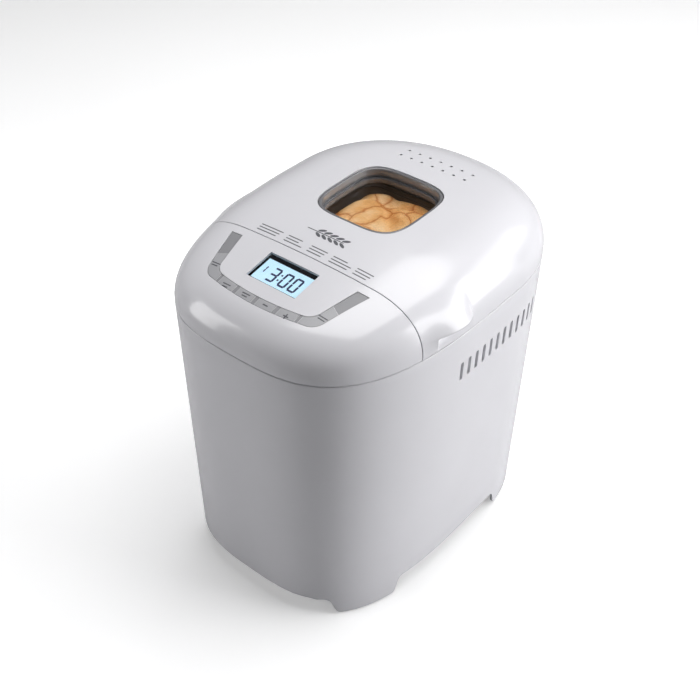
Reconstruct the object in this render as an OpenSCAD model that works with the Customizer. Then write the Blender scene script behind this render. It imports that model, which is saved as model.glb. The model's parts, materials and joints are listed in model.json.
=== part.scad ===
// Countertop bread machine: tapered casing with a domed front cover and a hinged rear lid,
// an oven chamber with a lift-out bread pan, and a belt-driven kneading paddle.
// Millimetres. X is the machine's right, -Y its front, +Z up. The origin is bottom centre.

/* [Casing] */
// Width across the seam between casing and lid
case_w = 224; // [218:1:236]
// Depth at the same seam
case_d = 299; // [294:1:312]
// Height of the lid's highest point
case_h = 298; // [294:1:304]
// Height of the seam between casing and lid
seam_z = 249; // [247:0.5:251]
// Thickness of the plastic walls
wall = 2.5; // [2:0.1:3]
// Height of the casing's bottom edge between the foot lugs
edge_z = 19; // [16:1:22]
// Gap shown at the seams
seam_gap = 0.8; // [0.4:0.1:1.2]

/* [Side vents] */
// Number of vertical slots on each side
slot_count = 12; // [6:1:12]
// Distance between slots
slot_pitch = 9.2; // [8:0.1:10]
// Height of a slot
slot_h = 17; // [10:1:24]
// Width of a slot
slot_w = 3.6; // [2:0.2:5]

/* [Lid] */
// Where the lid ends and the front cover starts
split_y = -72.4; // [-74:0.2:-71]
// Window width
window_w = 80.5; // [70:0.5:84]
// Window length
window_l = 82.3; // [70:0.5:84]
// Middle of the window, the oven and the pan
oven_y = 15; // [14:0.5:17]
// Radius of the two lifting tabs
tab_r = 19; // [15:1:21]
// Diameter of the steam holes
steam_d = 2.6; // [1.6:0.2:4]

/* [Panel] */
// Display width
display_w = 45.6; // [36:0.5:50]
// Display length along the slope
display_l = 27; // [20:0.5:30]
// Middle of the display
display_y = -96.5; // [-98:0.5:-95]
// Width of the four front keys
key_w = 14.6; // [10:0.2:15]
// Distance between the front keys
key_pitch = 18.7; // [17:0.1:19]

/* [Oven] */
// Inside width of the oven chamber
chamber_w = 152; // [148:1:156]
// Inside length of the oven chamber
chamber_l = 158; // [156:1:160]
// Height of the chamber's floor
chamber_z = 62; // [60:0.5:64]
// Pan width at the rim
pan_w = 124; // [118:1:126]
// Pan length at the rim
pan_l = 136; // [130:1:137]
// Height of the pan's rim
rim_z = 198; // [190:1:200]

/* [Drive] */
// Radius of the driven pulley
driven_r = 44; // [36:1:48]
// Radius of the motor pulley
motor_pulley_r = 8; // [6:0.5:10]
// Middle of the motor
motor_y = -107; // [-110:0.5:-105]
// Radius of the motor's body
motor_r = 30; // [24:1:31]

/* [Hidden] */
$fn = 48;

// Casing outline: half width, front and rear ends, each a quarter superellipse.
half_w = case_w / 2;
hinge_overhang = 4;
front_y = -(case_d + hinge_overhang) / 2;
rear_y = front_y + case_d;
front_bow = 181;
front_power = 3.14;
rear_bow = 107.5;
rear_power = 2.19;
side_taper = 0.0262;
front_taper = 0.008;
rear_taper = 0.0184;
outline_steps = 13;

// Crown over the seam: a wide rounded shoulder up to a gently arched top.
shoulder_side = 52.6;
shoulder_front = 28.9;
shoulder_rear = 48;
shoulder_power = 2.58;
arch_x = 0.0005;
arch_y = 0.0008;
crown_y = 16.6;
crown_steps = 8;
lid_wall = wall;

// Where the casing's end walls meet its side walls.
wall_front_y = -122;
wall_rear_y = 100;

// Cord gland
gland_z = 42;
gland_r = 8;

// Feet
foot_lug_z = 2;
foot_r = 7.5;
front_foot = [76, -105];
rear_foot = [87, 78];
plate_z = 14;
plate_t = 2.5;

// Panel frame: origin on the crown at the display's middle, tilted with the surface.
panel_pitch = atan(2 * arch_y * (crown_y - display_y));
key_clear = 0.35;
key_floor = 4.5;
plunger_r = 1.8;
plunger_z = 8;
carrier_z = 5.8;
board_depth = 10;

// Oven and pan
sheet = 0.8;
corner_r = 20;
liner_z = 250.5;
liner_top_z = 264;
glass_z = case_h - 9.5;
glass_t = 2.5;
glass_gap = 3;
bezel_low_z = glass_z - glass_gap - glass_t;
bezel_rim = 4.5;
glass_rim = 2.6;
deck_z = 240;
deck_t = 5;
pan_floor_z = 78;
pan_wall = 1.4;
pan_taper = 4;
pan_ring_r = 41;
bail_pivot_z = rim_z - 8;
bail_arm = 64;
bail_r = 2.2;
bail_y = pan_l / 2 + 6;
rim_t = 1.4;
bail_rest_gap = 0.3;
bail_tilt = asin((rim_z + rim_t + bail_r + bail_rest_gap - bail_pivot_z) / bail_arm);
running_fit = 0.05;

// Drive train levels
pulley_z = 27;
pulley_h = 12;
belt_w = 8;
belt_t = 2;
belt_gap = 0.3;
chassis_z = 43;
chassis_t = 3;
shaft_r = 5;
pan_shaft_r = 4;
motor_shaft_r = 4;

// Hinge
hinge_r = hinge_overhang;
hinge_pin_r = 1.6;
hinge_y = rear_y;
hinge_z = seam_z;
hinge_span = 56;
hinge_leaf = 8;
knuckle_w = 12;

// Window well and liner
liner_w = 146;
liner_l = 164;
well_w = 132;
well_l = 148;

// Heating element and pan socket
element_z = 84;
element_r = 3.3;
socket_r = 37.4;

// Paddle and coupling
paddle_z = 81.4;
paddle_h = 20;
flat_depth = 1.2;
coupling_z = 65.2;

// ---------- outlines and lofts ----------

// A point of a quarter superellipse at the angle t from its Y axis.
function quarter(a, b, n, t) =
    let (r = pow(pow(sin(t) / a, n) + pow(cos(t) / b, n), -1 / n))
    [r * sin(t), r * cos(t)];

// The casing's plan outline, anticlockwise from its front middle.
function outline(a, yf, yr) =
    let (
        scale_k = a / half_w,
        bf = front_bow * scale_k,
        br = rear_bow * scale_k,
        front = [for (i = [0 : outline_steps])
            let (q = quarter(a, bf, front_power, 90 * i / outline_steps)) [q.x, yf + bf - q.y]],
        rear = [for (i = [outline_steps : -1 : 0])
            let (q = quarter(a, br, rear_power, 90 * i / outline_steps)) [q.x, yr - br + q.y]],
        right = concat(front, rear)
    )
    concat(right, [for (i = [len(right) - 2 : -1 : 1]) [-right[i].x, right[i].y]]);

function case_outline(z, inset) =
    let (drop = seam_z - z)
    outline(half_w - side_taper * drop - inset, front_y + front_taper * drop + inset,
            rear_y - rear_taper * drop - inset);

function at_height(points, z) = [for (p = points) [p.x, p.y, z]];

// Height of the arched top over a point.
function top_z(x, y, inset) = case_h - inset - arch_y * pow(y - crown_y, 2) - arch_x * x * x;

function shoulder_outline(angle, inset) =
    let (g = 1 - cos(angle))
    outline(half_w - inset - shoulder_side * g, front_y + inset + shoulder_front * g,
            rear_y - inset - shoulder_rear * g);

function shoulder_ring(angle, inset) =
    let (rise = pow(max(0, 1 - pow(cos(angle), shoulder_power)), 1 / shoulder_power))
    [for (p = shoulder_outline(angle, inset))
        [p.x, p.y, seam_z + (top_z(p.x, p.y, inset) - seam_z) * rise]];

function top_ring(k, inset) =
    [for (p = shoulder_outline(90, inset))
        let (x = p.x * k, y = crown_y + (p.y - crown_y) * k) [x, y, top_z(x, y, inset)]];

// Closed solid through a stack of rings, with a point over the last one.
module loft(rings, apex) {
    n = len(rings[0]);
    last = len(rings) - 1;
    sides = [for (j = [0 : last - 1], i = [0 : n - 1])
        let (a = j * n + i, b = j * n + (i + 1) % n)
        each [[a, a + n, b + n], [a, b + n, b]]];
    cap = [for (i = [0 : n - 1]) [last * n + i, (last + 1) * n, last * n + (i + 1) % n]];
    polyhedron(points = [for (r = rings) each r, apex],
               faces = concat([[for (i = [0 : n - 1]) i]], sides, cap));
}

module case_loft(z_low, z_high, inset) {
    loft([at_height(case_outline(z_low, inset), z_low), at_height(case_outline(z_high, inset), z_high)],
         [0, 0, z_high]);
}

module crown(inset, z_low) {
    rings = concat(
        [at_height(shoulder_outline(0, inset), z_low)],
        [for (i = [1 : crown_steps]) shoulder_ring(90 * pow(i / crown_steps, 1.2), inset)],
        [for (k = [0.72, 0.44, 0.18]) top_ring(k, inset)]
    );
    loft(rings, [0, crown_y, top_z(0, crown_y, inset)]);
}

// Everything on one side of a plane across Y.
module behind(y) {
    translate([-200, y, -50]) cube([400, 400, 500]);
}

module ahead_of(y) {
    translate([-200, y - 400, -50]) cube([400, 400, 500]);
}

// Rounded square of the window, as plan points.
function squircle(w, l) =
    [for (i = [0 : 47])
        let (t = 7.5 * i, c = cos(t), s = sin(t), n = 3.84,
             r = pow(pow(abs(c) / (w / 2), n) + pow(abs(s) / (l / 2), n), -1 / n))
        [r * c, r * s]];

module window_prism(w, l, z_low, h) {
    translate([0, oven_y, z_low]) linear_extrude(h) polygon(squircle(w, l));
}

module round_rect(w, l, r) {
    offset(r = r, $fn = 32) square([w - 2 * r, l - 2 * r], center = true);
}

module in_oven(z) {
    translate([0, oven_y, z]) children();
}

module tube(r_out, r_in, h) {
    difference() {
        cylinder(r = r_out, h = h);
        translate([0, 0, -1]) cylinder(r = r_in, h = h + 2);
    }
}

// ---------- casing ----------

module foot_points() {
    for (side = [-1, 1], foot = [front_foot, rear_foot]) translate([side * foot.x, foot.y, 0]) children();
}

// Openings under the casing, which leave a lug at each corner.
module edge_notches() {
    far = 200;
    low = -1;
    front_lug = [70, -78];
    rear_lug = [66, 48];
    slant = 5;
    rotate([90, 0, 0]) {
        linear_extrude(far)
            polygon([[-front_lug.x - slant, low], [front_lug.x + slant, low], [front_lug.x, edge_z],
                [-front_lug.x, edge_z]]);
        translate([0, 0, -far]) linear_extrude(far)
            polygon([[-rear_lug.x - slant, low], [rear_lug.x + slant, low], [rear_lug.x, edge_z],
                [-rear_lug.x, edge_z]]);
    }
    rotate([90, 0, 90]) translate([0, 0, -far]) linear_extrude(2 * far)
        polygon([[front_lug.y - slant, low], [rear_lug.y + slant, low], [rear_lug.y, edge_z],
            [front_lug.y, edge_z]]);
}

module side_slots() {
    first_y = -27.4;
    low_z = 204.3;
    r = slot_w / 2;
    for (i = [0 : slot_count - 1]) translate([-130, first_y + i * slot_pitch, low_z]) {
        translate([0, -r, r]) cube([260, slot_w, slot_h - slot_w]);
        for (z = [r, slot_h - r]) translate([0, 0, z]) rotate([0, 90, 0]) cylinder(r = r, h = 260, $fn = 24);
    }
}

// The smooth one-piece wall of the casing. The nodes below divide it into
// four sides and the lugs, which meet face to face and stay fixed together.
module case_wall() {
    color("white") difference() {
        case_loft(foot_lug_z, seam_z, 0);
        case_loft(foot_lug_z - 2, seam_z + 2, wall);
        edge_notches();
        side_slots();
        translate([0, rear_y - 20, gland_z]) rotate([-90, 0, 0]) cylinder(r = gland_r + 0.2, h = 40);
        hinge_space();
    }
}

module hinge_space() {
    room = 1.5;
    depth = 20;
    translate([-hinge_span / 2 - 1, hinge_y - hinge_r - room, hinge_z - hinge_r - room])
        cube([hinge_span + 2, depth, depth]);
}

module above(z) {
    translate([-200, -200, z]) cube([400, 400, 400]);
}

module between_ends() {
    translate([-200, wall_front_y, 0]) cube([400, wall_rear_y - wall_front_y, 400]);
}

module casing_front() {
    intersection() {
        case_wall();
        ahead_of(wall_front_y);
        above(edge_z);
    }
}

module casing_rear() {
    intersection() {
        case_wall();
        behind(wall_rear_y);
        above(edge_z);
    }
}

module casing_side(side) {
    intersection() {
        case_wall();
        between_ends();
        above(edge_z);
        translate([side > 0 ? 0 : -200, -200, 0]) cube([200, 400, 400]);
    }
}

module casing_right() { casing_side(1); }
module casing_left() { casing_side(-1); }

module casing_lugs() {
    difference() {
        case_wall();
        above(edge_z);
    }
}

module plate_screw_points() {
    for (x = [-52, 52], y = [-88, 96]) translate([x, y, 0]) children();
}

module base_plate() {
    boss_z = 4;
    color("gainsboro") difference() {
        union() {
            translate([0, 0, plate_z]) linear_extrude(plate_t) polygon(case_outline(plate_z, wall + 0.4));
            foot_points() translate([0, 0, boss_z]) cylinder(r = foot_r + 0.5, h = plate_z - boss_z);
        }
        foot_points() cylinder(r = 3, h = plate_z);
        plate_screw_points() cylinder(r = 1.7, h = 40);
        for (x = [-36 : 12 : 36]) translate([x - 2, -30, 0]) cube([4, 60, 40]);
    }
}

module rubber_feet() {
    color("dimgray") foot_points() {
        cylinder(r1 = foot_r - 1, r2 = foot_r, h = 2);
        translate([0, 0, 2]) cylinder(r = foot_r, h = 2);
        translate([0, 0, 4]) cylinder(r = 3, h = 7);
    }
}

module base_screws() {
    color("silver") plate_screw_points() {
        translate([0, 0, plate_z - 2.4]) cylinder(r = 3.4, h = 2.4);
        translate([0, 0, plate_z]) cylinder(r = 1.6, h = plate_t + 7);
    }
}

module cord_gland() {
    bore_r = 3.6;
    flange_r = gland_r + 2.5;
    flange_t = 3.4;
    nut_t = 3;
    color("dimgray") translate([0, rear_y, gland_z]) rotate([90, 0, 0]) difference() {
        union() {
            cylinder(r = flange_r, h = flange_t);
            cylinder(r = gland_r, h = 17.6);
            translate([0, 0, 2 * flange_t + 0.2]) cylinder(r = flange_r, h = nut_t);
        }
        translate([0, 0, -1]) cylinder(r = bore_r, h = 30);
    }
}

// ---------- front cover and panel ----------

module on_panel() {
    translate([0, display_y, top_z(0, display_y, 0)]) rotate([panel_pitch, 0, 0]) children();
}

// One edge of the U-shaped key strip, in the panel's own plane.
module strip_edge(half, slope, low, r) {
    bow = 210;
    reach = 60;
    offset(r = r, $fn = 40) offset(delta = -r) intersection() {
        polygon([[-half - reach * slope, reach], [-half + reach * slope, -reach],
                 [half - reach * slope, -reach], [half + reach * slope, reach]]);
        translate([0, low + bow]) circle(r = bow, $fn = 180);
    }
}

module key_strip() {
    strip_end = 16.2;
    intersection() {
        difference() {
            strip_edge(59.4, 0.3, -32.6, 13);
            strip_edge(50.4, 0.25, -25.8, 12);
        }
        translate([-80, -40]) square([160, 40 + strip_end]);
    }
}

// Where each key lies along the strip: 1 and 6 at the corners, 2 to 5 along the front.
module key_region(i) {
    if (i == 1 || i == 6) {
        side = (i == 6) ? 1 : -1;
        polygon([[side * 41, -50], [side * 38.5, -15], [side * 38, 2], [side * 62, -11], [side * 70, -50]]);
    } else {
        translate([(i - 3.5) * key_pitch - key_w / 2, -40]) square([key_w, 30]);
    }
}

module key_shape(i) {
    intersection() {
        key_strip();
        key_region(i);
    }
}

// Where a key's plunger presses, in the panel's own plane.
function key_point(i) = (i == 1) ? [-50, -15.5] : (i == 6) ? [50, -15.5] : [(i - 3.5) * key_pitch, -28.6];

// The part of a panel outline between the crown and a floor below the panel's plane.
module panel_solid(depth, floor_depth) {
    intersection() {
        crown(depth, seam_z);
        on_panel() translate([0, 0, -floor_depth]) linear_extrude(20) children();
    }
}

module front_cover() {
    color("white") difference() {
        crown(0, seam_z + seam_gap);
        intersection() {
            crown(lid_wall, seam_z - 4);
            ahead_of(split_y - seam_gap / 2 - lid_wall);
        }
        behind(split_y - seam_gap / 2);
        on_panel() {
            translate([0, 0, -12]) linear_extrude(30) offset(r = 0.3) key_strip();
            translate([-display_w / 2, -display_l / 2, -12]) cube([display_w, display_l, 30]);
        }
    }
}

module key_inlay() {
    color("darkgray") panel_solid(0.4, key_floor) difference() {
        key_strip();
        for (i = [1 : 6]) offset(delta = key_clear) key_shape(i);
    }
}

module panel_key(i) {
    p = key_point(i);
    color("silver") {
        panel_solid(0.1, key_floor) key_shape(i);
        on_panel() translate([p.x, p.y, -plunger_z]) cylinder(r = plunger_r, h = plunger_z - key_floor + 0.5);
    }
}

module key_menu() { panel_key(1); }
module key_size() { panel_key(2); }
module key_crust() { panel_key(3); }
module key_minus() { panel_key(4); }
module key_plus() { panel_key(5); }
module key_start() { panel_key(6); }

// Frame under the keys, drilled for their plungers.
module key_carrier() {
    color("white") intersection() {
        crown(lid_wall + 0.4, seam_z);
        on_panel() translate([0, 0, -carrier_z - 1.6]) difference() {
            linear_extrude(1.6) offset(delta = 2.5) key_strip();
            for (i = [1 : 6]) translate([key_point(i).x, key_point(i).y, -1])
                cylinder(r = plunger_r + 0.4, h = 4);
        }
    }
}

module display_lens() {
    margin = 0.2;
    color("black", 0.4) on_panel() translate([margin - display_w / 2, margin - display_l / 2, -1.5])
        cube([display_w - 2 * margin, display_l - 2 * margin, 1.2]);
}

module display_module() {
    margin = 0.4;
    color("lightblue") on_panel() translate([margin - display_w / 2, margin - display_l / 2, -5])
        cube([display_w - 2 * margin, display_l - 2 * margin, 3.2]);
}

module control_board() {
    board = [112, 46, 1.6];
    switch = [5, 5, 0.8];
    chip = [18, 18, 3];
    color("darkgreen") on_panel() translate([0, 0, -board_depth]) {
        translate([-board.x / 2, -32, -board.z]) cube(board);
        for (i = [1 : 6]) translate([key_point(i).x - switch.x / 2, key_point(i).y - switch.y / 2, 0])
            cube(switch);
        translate([20, -12, -board.z - chip.z]) cube(chip);
        translate([-22, 4, -board.z - 9]) cylinder(r = 6, h = 9);
    }
}

// ---------- fixed parts inside ----------

module power_board() {
    board = [110, 1.6, 70];
    board_y = -78;
    low_z = 140;
    color("darkolivegreen") {
        translate([-board.x / 2, board_y, low_z]) cube(board);
        translate([-45, board_y - 22, low_z + 8]) cube([30, 22, 24]);
        translate([5, board_y - 16, low_z + 34]) cube([18, 16, 20]);
        for (x = [-30, -10, 40]) translate([x, board_y, low_z + 50]) rotate([90, 0, 0])
            cylinder(r = 6, h = 22);
        for (x = [10, 24]) translate([x, board_y - 12, low_z + 6]) cube([8, 12, 16]);
    }
}

module motor_capacitor() {
    color("silver") translate([66, -100, 60]) {
        cylinder(r = 14, h = 46);
        translate([0, 0, 46]) cylinder(r = 11, h = 4);
    }
}

module top_deck() {
    color("whitesmoke") difference() {
        translate([0, 0, deck_z]) linear_extrude(deck_t) polygon(case_outline(deck_z, wall + 0.4));
        in_oven(deck_z - 1) linear_extrude(deck_t + 2)
            round_rect(chamber_w + 2 * sheet + 0.6, chamber_l + 2 * sheet + 0.6, corner_r);
        translate([-60, -134, deck_z - 1]) cube([120, 52, deck_t + 2]);
        translate([-hinge_span / 2 - 1, hinge_y - 12, deck_z - 1]) cube([hinge_span + 2, 20, 20]);
    }
}

module oven_chamber() {
    top = deck_z + deck_t;
    color("dimgray") difference() {
        union() {
            in_oven(chamber_z) linear_extrude(top - chamber_z)
                round_rect(chamber_w + 2 * sheet, chamber_l + 2 * sheet, corner_r);
            in_oven(top) linear_extrude(sheet) round_rect(chamber_w + 12, chamber_l + 12, corner_r + 5);
        }
        in_oven(chamber_z + sheet) linear_extrude(300) round_rect(chamber_w, chamber_l, corner_r - sheet);
        in_oven(chamber_z - 1) cylinder(r = 15.2, h = 10);
        for (x = [-14, 14]) translate([x, oven_y - chamber_l / 2 - 5, element_z]) rotate([-90, 0, 0])
            cylinder(r = 5.2, h = 10);
        translate([40, oven_y - chamber_l / 2 - 5, 120]) rotate([-90, 0, 0]) cylinder(r = 4.2, h = 10);
    }
}

// Tube from a to b along a straight line.
module rod(a, b, r) {
    d = b - a;
    translate(a) rotate([0, acos(d.z / norm(d)), atan2(d.y, d.x)]) cylinder(r = r, h = norm(d));
}

// A quarter bend of tube in the XY plane, around its own middle.
module bend(bend_r, r, start) {
    rotate([0, 0, start]) rotate_extrude(angle = 90) translate([bend_r, 0]) circle(r = r);
}

module heating_element() {
    hx = chamber_w / 2 - 7;
    hy = chamber_l / 2 - 7;
    c = 16;
    gap_x = 14;
    turn = 7;
    lead = 10;
    color("dimgray") in_oven(element_z) {
        for (side = [-1, 1]) {
            rod([side * hx, -hy + c, 0], [side * hx, hy - c, 0], element_r);
            rod([side * (gap_x + turn), -hy, 0], [side * (hx - c), -hy, 0], element_r);
            rod([side * gap_x, -hy - turn, 0], [side * gap_x, -hy - turn - lead, 0], element_r);
        }
        rod([-hx + c, hy, 0], [hx - c, hy, 0], element_r);
        translate([hx - c, hy - c, 0]) bend(c, element_r, 0);
        translate([-hx + c, hy - c, 0]) bend(c, element_r, 90);
        translate([-hx + c, -hy + c, 0]) bend(c, element_r, 180);
        translate([hx - c, -hy + c, 0]) bend(c, element_r, 270);
        translate([gap_x + turn, -hy - turn, 0]) bend(turn, element_r, 90);
        translate([-gap_x - turn, -hy - turn, 0]) bend(turn, element_r, 0);
    }
}

module element_brackets() {
    clip = [10.5, 8, 10];
    color("silver") for (side = [-1, 1], y = [-30, 30])
        translate([side * (chamber_w / 2 - 7), oven_y + y, element_z]) difference() {
            translate([side * 1.75 - clip.x / 2, -clip.y / 2, -clip.z / 2]) cube(clip);
            translate([0, clip.y, 0]) rotate([90, 0, 0])
                cylinder(r = element_r + running_fit, h = 2 * clip.y);
        }
}

module oven_sensor() {
    color("silver") translate([40, oven_y - chamber_l / 2, 120]) rotate([90, 0, 0]) {
        translate([0, 0, -8]) cylinder(r = 3, h = 9);
        translate([0, 0, sheet]) cylinder(r = 7, h = 4);
        translate([0, 0, sheet - 1]) cylinder(r = 4, h = 2);
    }
}

module thermal_fuse() {
    color("beige") translate([-40, oven_y - chamber_l / 2 - sheet, 120]) rotate([90, 0, 0]) {
        translate([-10, -5, 0]) cube([20, 10, 1.2]);
        translate([0, 0, 1.2]) cylinder(r = 7, h = 6);
        for (x = [-6, 6]) translate([x - 2, -0.4, 7.2]) cube([4, 0.8, 4]);
    }
}

module pan_socket() {
    color("silver") in_oven(chamber_z + sheet) {
        difference() {
            union() {
                tube(socket_r, socket_r - 2, 10);
                tube(44, 24, 1);
            }
            for (a = [0 : 90 : 270]) rotate([0, 0, a + 45]) translate([30, -4, 3]) cube([12, 8, 10]);
        }
    }
}

module pan_springs() {
    color("silver") in_oven(chamber_z + sheet + 1) for (a = [45 : 90 : 315]) rotate([0, 0, a])
        translate([26, -3, 0]) {
            cube([7, 6, 0.6]);
            translate([6.4, 0, 0]) cube([0.6, 6, 10]);
            translate([7, 0, 7]) cube([2.4, 6, 0.6]);
        }
}

module chassis_posts() {
    for (p = [[-58, -123], [58, -123], [-64, 70], [64, 70]]) translate([p.x, p.y, 0]) children();
}

module drive_chassis() {
    color("slategray") difference() {
        union() {
            translate([-42, motor_y - 24, chassis_z]) cube([84, oven_y - motor_y + 60, chassis_t]);
            translate([-64, motor_y - 22, chassis_z]) cube([128, 12, chassis_t]);
            translate([-70, 62, chassis_z]) cube([140, 16, chassis_t]);
            translate([-42, 45, chassis_z]) cube([84, 25, chassis_t]);
            chassis_posts() translate([0, 0, plate_z + plate_t])
                cylinder(r = 5, h = chassis_z - plate_z - plate_t);
        }
        translate([0, oven_y, 0]) cylinder(r = 11, h = 60);
        translate([0, motor_y, 0]) cylinder(r = 9, h = 60);
        for (x = [-24, 24]) translate([x, motor_y + 14, 0]) cylinder(r = 2.2, h = 60);
    }
}

module bearing_housing() {
    color("slategray") in_oven(chassis_z + chassis_t) difference() {
        union() {
            cylinder(r = 20, h = 3);
            cylinder(r = 15, h = chamber_z - chassis_z - chassis_t + 2);
        }
        translate([0, 0, -1]) cylinder(r = 8, h = 60);
    }
}

module drive_bush() {
    color("peru") in_oven(chassis_z - 1) tube(8, shaft_r + running_fit, chamber_z - chassis_z + 3);
}

module motor_stator() {
    low = chassis_z + chassis_t + 8;
    color("silver") translate([0, motor_y, 0]) {
        difference() {
            union() {
                translate([0, 0, low]) cylinder(r = motor_r - 2, h = 62);
                translate([0, 0, low + 14]) cylinder(r = motor_r, h = 34);
                translate([0, 0, low - 6]) cylinder(r = 9, h = 6);
                translate([0, 0, low + 62]) cylinder(r = 10, h = 5);
            }
            translate([0, 0, low - 10]) cylinder(r = motor_shaft_r + running_fit, h = 90);
        }
    }
}

module motor_mounts() {
    low = chassis_z + chassis_t;
    color("dimgray") for (x = [-24, 24]) translate([x, motor_y + 14, 0]) {
        translate([0, 0, low]) cylinder(r = 5, h = 8);
        translate([0, 0, low - chassis_t - 2]) cylinder(r = 2.1, h = chassis_t + 2);
    }
}

module drive_belt() {
    distance = oven_y - motor_y;
    low_z = pulley_z + (pulley_h - belt_w) / 2;
    color("black") translate([0, motor_y, low_z]) linear_extrude(belt_w) difference() {
        hull() {
            circle(r = motor_pulley_r + belt_gap + belt_t);
            translate([0, distance]) circle(r = driven_r + belt_gap + belt_t, $fn = 96);
        }
        hull() {
            circle(r = motor_pulley_r + belt_gap);
            translate([0, distance]) circle(r = driven_r + belt_gap, $fn = 96);
        }
    }
}

// ---------- hinge ----------

module knuckle(x, w, bore) {
    translate([x, hinge_y, hinge_z]) rotate([0, 90, 0]) difference() {
        cylinder(r = hinge_r, h = w);
        translate([0, 0, -1]) cylinder(r = bore, h = w + 2);
    }
}

// Leaf of a hinge part beside its knuckle, trimmed to lie inside a shell.
module hinge_leaf(x, w, z_low, h) {
    difference() {
        translate([x, hinge_y - hinge_r - hinge_leaf, hinge_z + z_low]) cube([w, hinge_leaf + 2, h]);
        translate([x - 1, hinge_y, hinge_z]) rotate([0, 90, 0]) cylinder(r = hinge_r - 0.5, h = w + 2);
    }
}

module hinge_brackets() {
    leaf_h = 30;
    color("white") for (x = [-hinge_span / 2 + 0.5, hinge_span / 2 - knuckle_w - 0.5]) {
        knuckle(x, knuckle_w, hinge_pin_r + running_fit);
        intersection() {
            hinge_leaf(x, knuckle_w, -leaf_h, leaf_h - 0.5);
            case_loft(seam_z - 2 * leaf_h, seam_z, wall + 0.2);
        }
    }
}

module hinge_pin() {
    color("silver") translate([-hinge_span / 2 + 1, hinge_y, hinge_z]) rotate([0, 90, 0])
        cylinder(r = hinge_pin_r, h = hinge_span - 2);
}

module lid_hinge() {
    x = -hinge_span / 2 + knuckle_w + 1;
    w = hinge_span - 2 * knuckle_w - 2;
    color("white") {
        knuckle(x, w, hinge_pin_r + running_fit);
        intersection() {
            hinge_leaf(x, w, 0.6, 12);
            crown(lid_wall + 0.2, seam_z);
        }
    }
}

// ---------- lid ----------

module steam_holes() {
    pitch = 10.3;
    for (i = [-3 : 3], y = [80.7, 92.5]) translate([i * pitch, y, case_h - 40])
        cylinder(r = steam_d / 2, h = 60, $fn = 20);
}

// Lip at each side that fingers lift the lid by, blended into the shoulder above it.
module lid_tabs() {
    tab_x = 101;
    tab_y = -37.5;
    tab_z = 262;
    for (side = [-1, 1]) hull() {
        translate([side * tab_x, tab_y, tab_z]) cylinder(r = tab_r, h = 3);
        translate([side * (tab_x - 9), tab_y, tab_z + 14]) cylinder(r = tab_r - 7, h = 1);
    }
}

module lid_cover() {
    color("white") difference() {
        union() {
            difference() {
                crown(0, seam_z + seam_gap);
                ahead_of(split_y + seam_gap / 2);
            }
            lid_tabs();
        }
        intersection() {
            crown(lid_wall, seam_z - 4);
            behind(split_y + seam_gap / 2 + lid_wall);
        }
        window_prism(window_w, window_l, case_h - 20, 40);
        steam_holes();
        translate([-hinge_span / 2 - 1, hinge_y - hinge_r - 1.5, hinge_z - 20])
            cube([hinge_span + 2, 20, 20 + hinge_r + 1.5]);
    }
}

// Plan of the space inside the lid, held back from its front wall.
module lid_inside(inset) {
    intersection() {
        polygon(shoulder_outline(0, lid_wall + inset));
        translate([-150, split_y + seam_gap / 2 + lid_wall + inset]) square([300, 300]);
    }
}

// Flared space between the chamber's mouth and the window.
module window_well(grow) {
    hull() {
        window_prism(well_w + grow, well_l + grow, liner_top_z, 0.1);
        window_prism(window_w - 2 * glass_rim + grow, window_l - 2 * glass_rim + grow,
            bezel_low_z - 0.2, 0.1);
    }
}

module lid_liner() {
    t = 1;
    vent_pitch = 12;
    color("dimgray") difference() {
        union() {
            translate([0, 0, liner_z]) linear_extrude(t) difference() {
                lid_inside(1);
                translate([-hinge_span / 2 - 2, hinge_y - hinge_r - hinge_leaf - 2])
                    square([hinge_span + 4, 40]);
            }
            in_oven(liner_z) linear_extrude(liner_top_z - liner_z + t) round_rect(liner_w, liner_l, corner_r);
            window_well(2 * t);
        }
        in_oven(liner_z - 1) linear_extrude(liner_top_z - liner_z + 1)
            round_rect(liner_w - 2 * t, liner_l - 2 * t, corner_r - t);
        window_well(0);
        for (i = [-4 : 4]) translate([i * vent_pitch, oven_y + liner_l / 2 - 4.5, liner_top_z - 1])
            cylinder(r = 1.5, h = 4, $fn = 20);
    }
}

// Silicone ring that closes the chamber's mouth.
module lid_gasket() {
    gasket_z = deck_z + deck_t + sheet + 0.5;
    color("gray") in_oven(gasket_z) linear_extrude(liner_z - gasket_z) difference() {
        round_rect(chamber_w + 12, chamber_l + 10, corner_r + 4);
        round_rect(chamber_w + 2, chamber_l, corner_r);
    }
}

// Ring around the window, with a rebate under its rim for both glasses.
module window_bezel() {
    rim_z = glass_z + glass_t;
    top = case_h - 1.8;
    color("dimgray") difference() {
        window_prism(window_w - 0.5, window_l - 0.5, bezel_low_z, top - bezel_low_z);
        window_prism(window_w - 2 * bezel_rim, window_l - 2 * bezel_rim, bezel_low_z - 1, 30);
        window_prism(window_w - 2 * glass_rim + 0.4, window_l - 2 * glass_rim + 0.4, bezel_low_z - 1,
            rim_z - bezel_low_z + 1);
    }
}

module glass_plate(z) {
    color("lightgray", 0.4) window_prism(window_w - 2 * glass_rim, window_l - 2 * glass_rim, z, glass_t);
}

module window_glass() {
    glass_plate(glass_z);
}

module inner_glass() {
    glass_plate(bezel_low_z);
}

module glass_spacer() {
    color("gray") difference() {
        window_prism(window_w - 2 * glass_rim, window_l - 2 * glass_rim, glass_z - glass_gap, glass_gap);
        window_prism(window_w - 2 * bezel_rim, window_l - 2 * bezel_rim, glass_z - glass_gap - 1,
            glass_gap + 2);
    }
}

module lid_screws() {
    head_h = 1.6;
    color("silver") for (side = [-1, 1], p = [[92, -58], [56, 112]])
        translate([side * p.x, p.y, liner_z - head_h]) cylinder(r = 3, h = head_h);
}

// ---------- pan ----------

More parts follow.
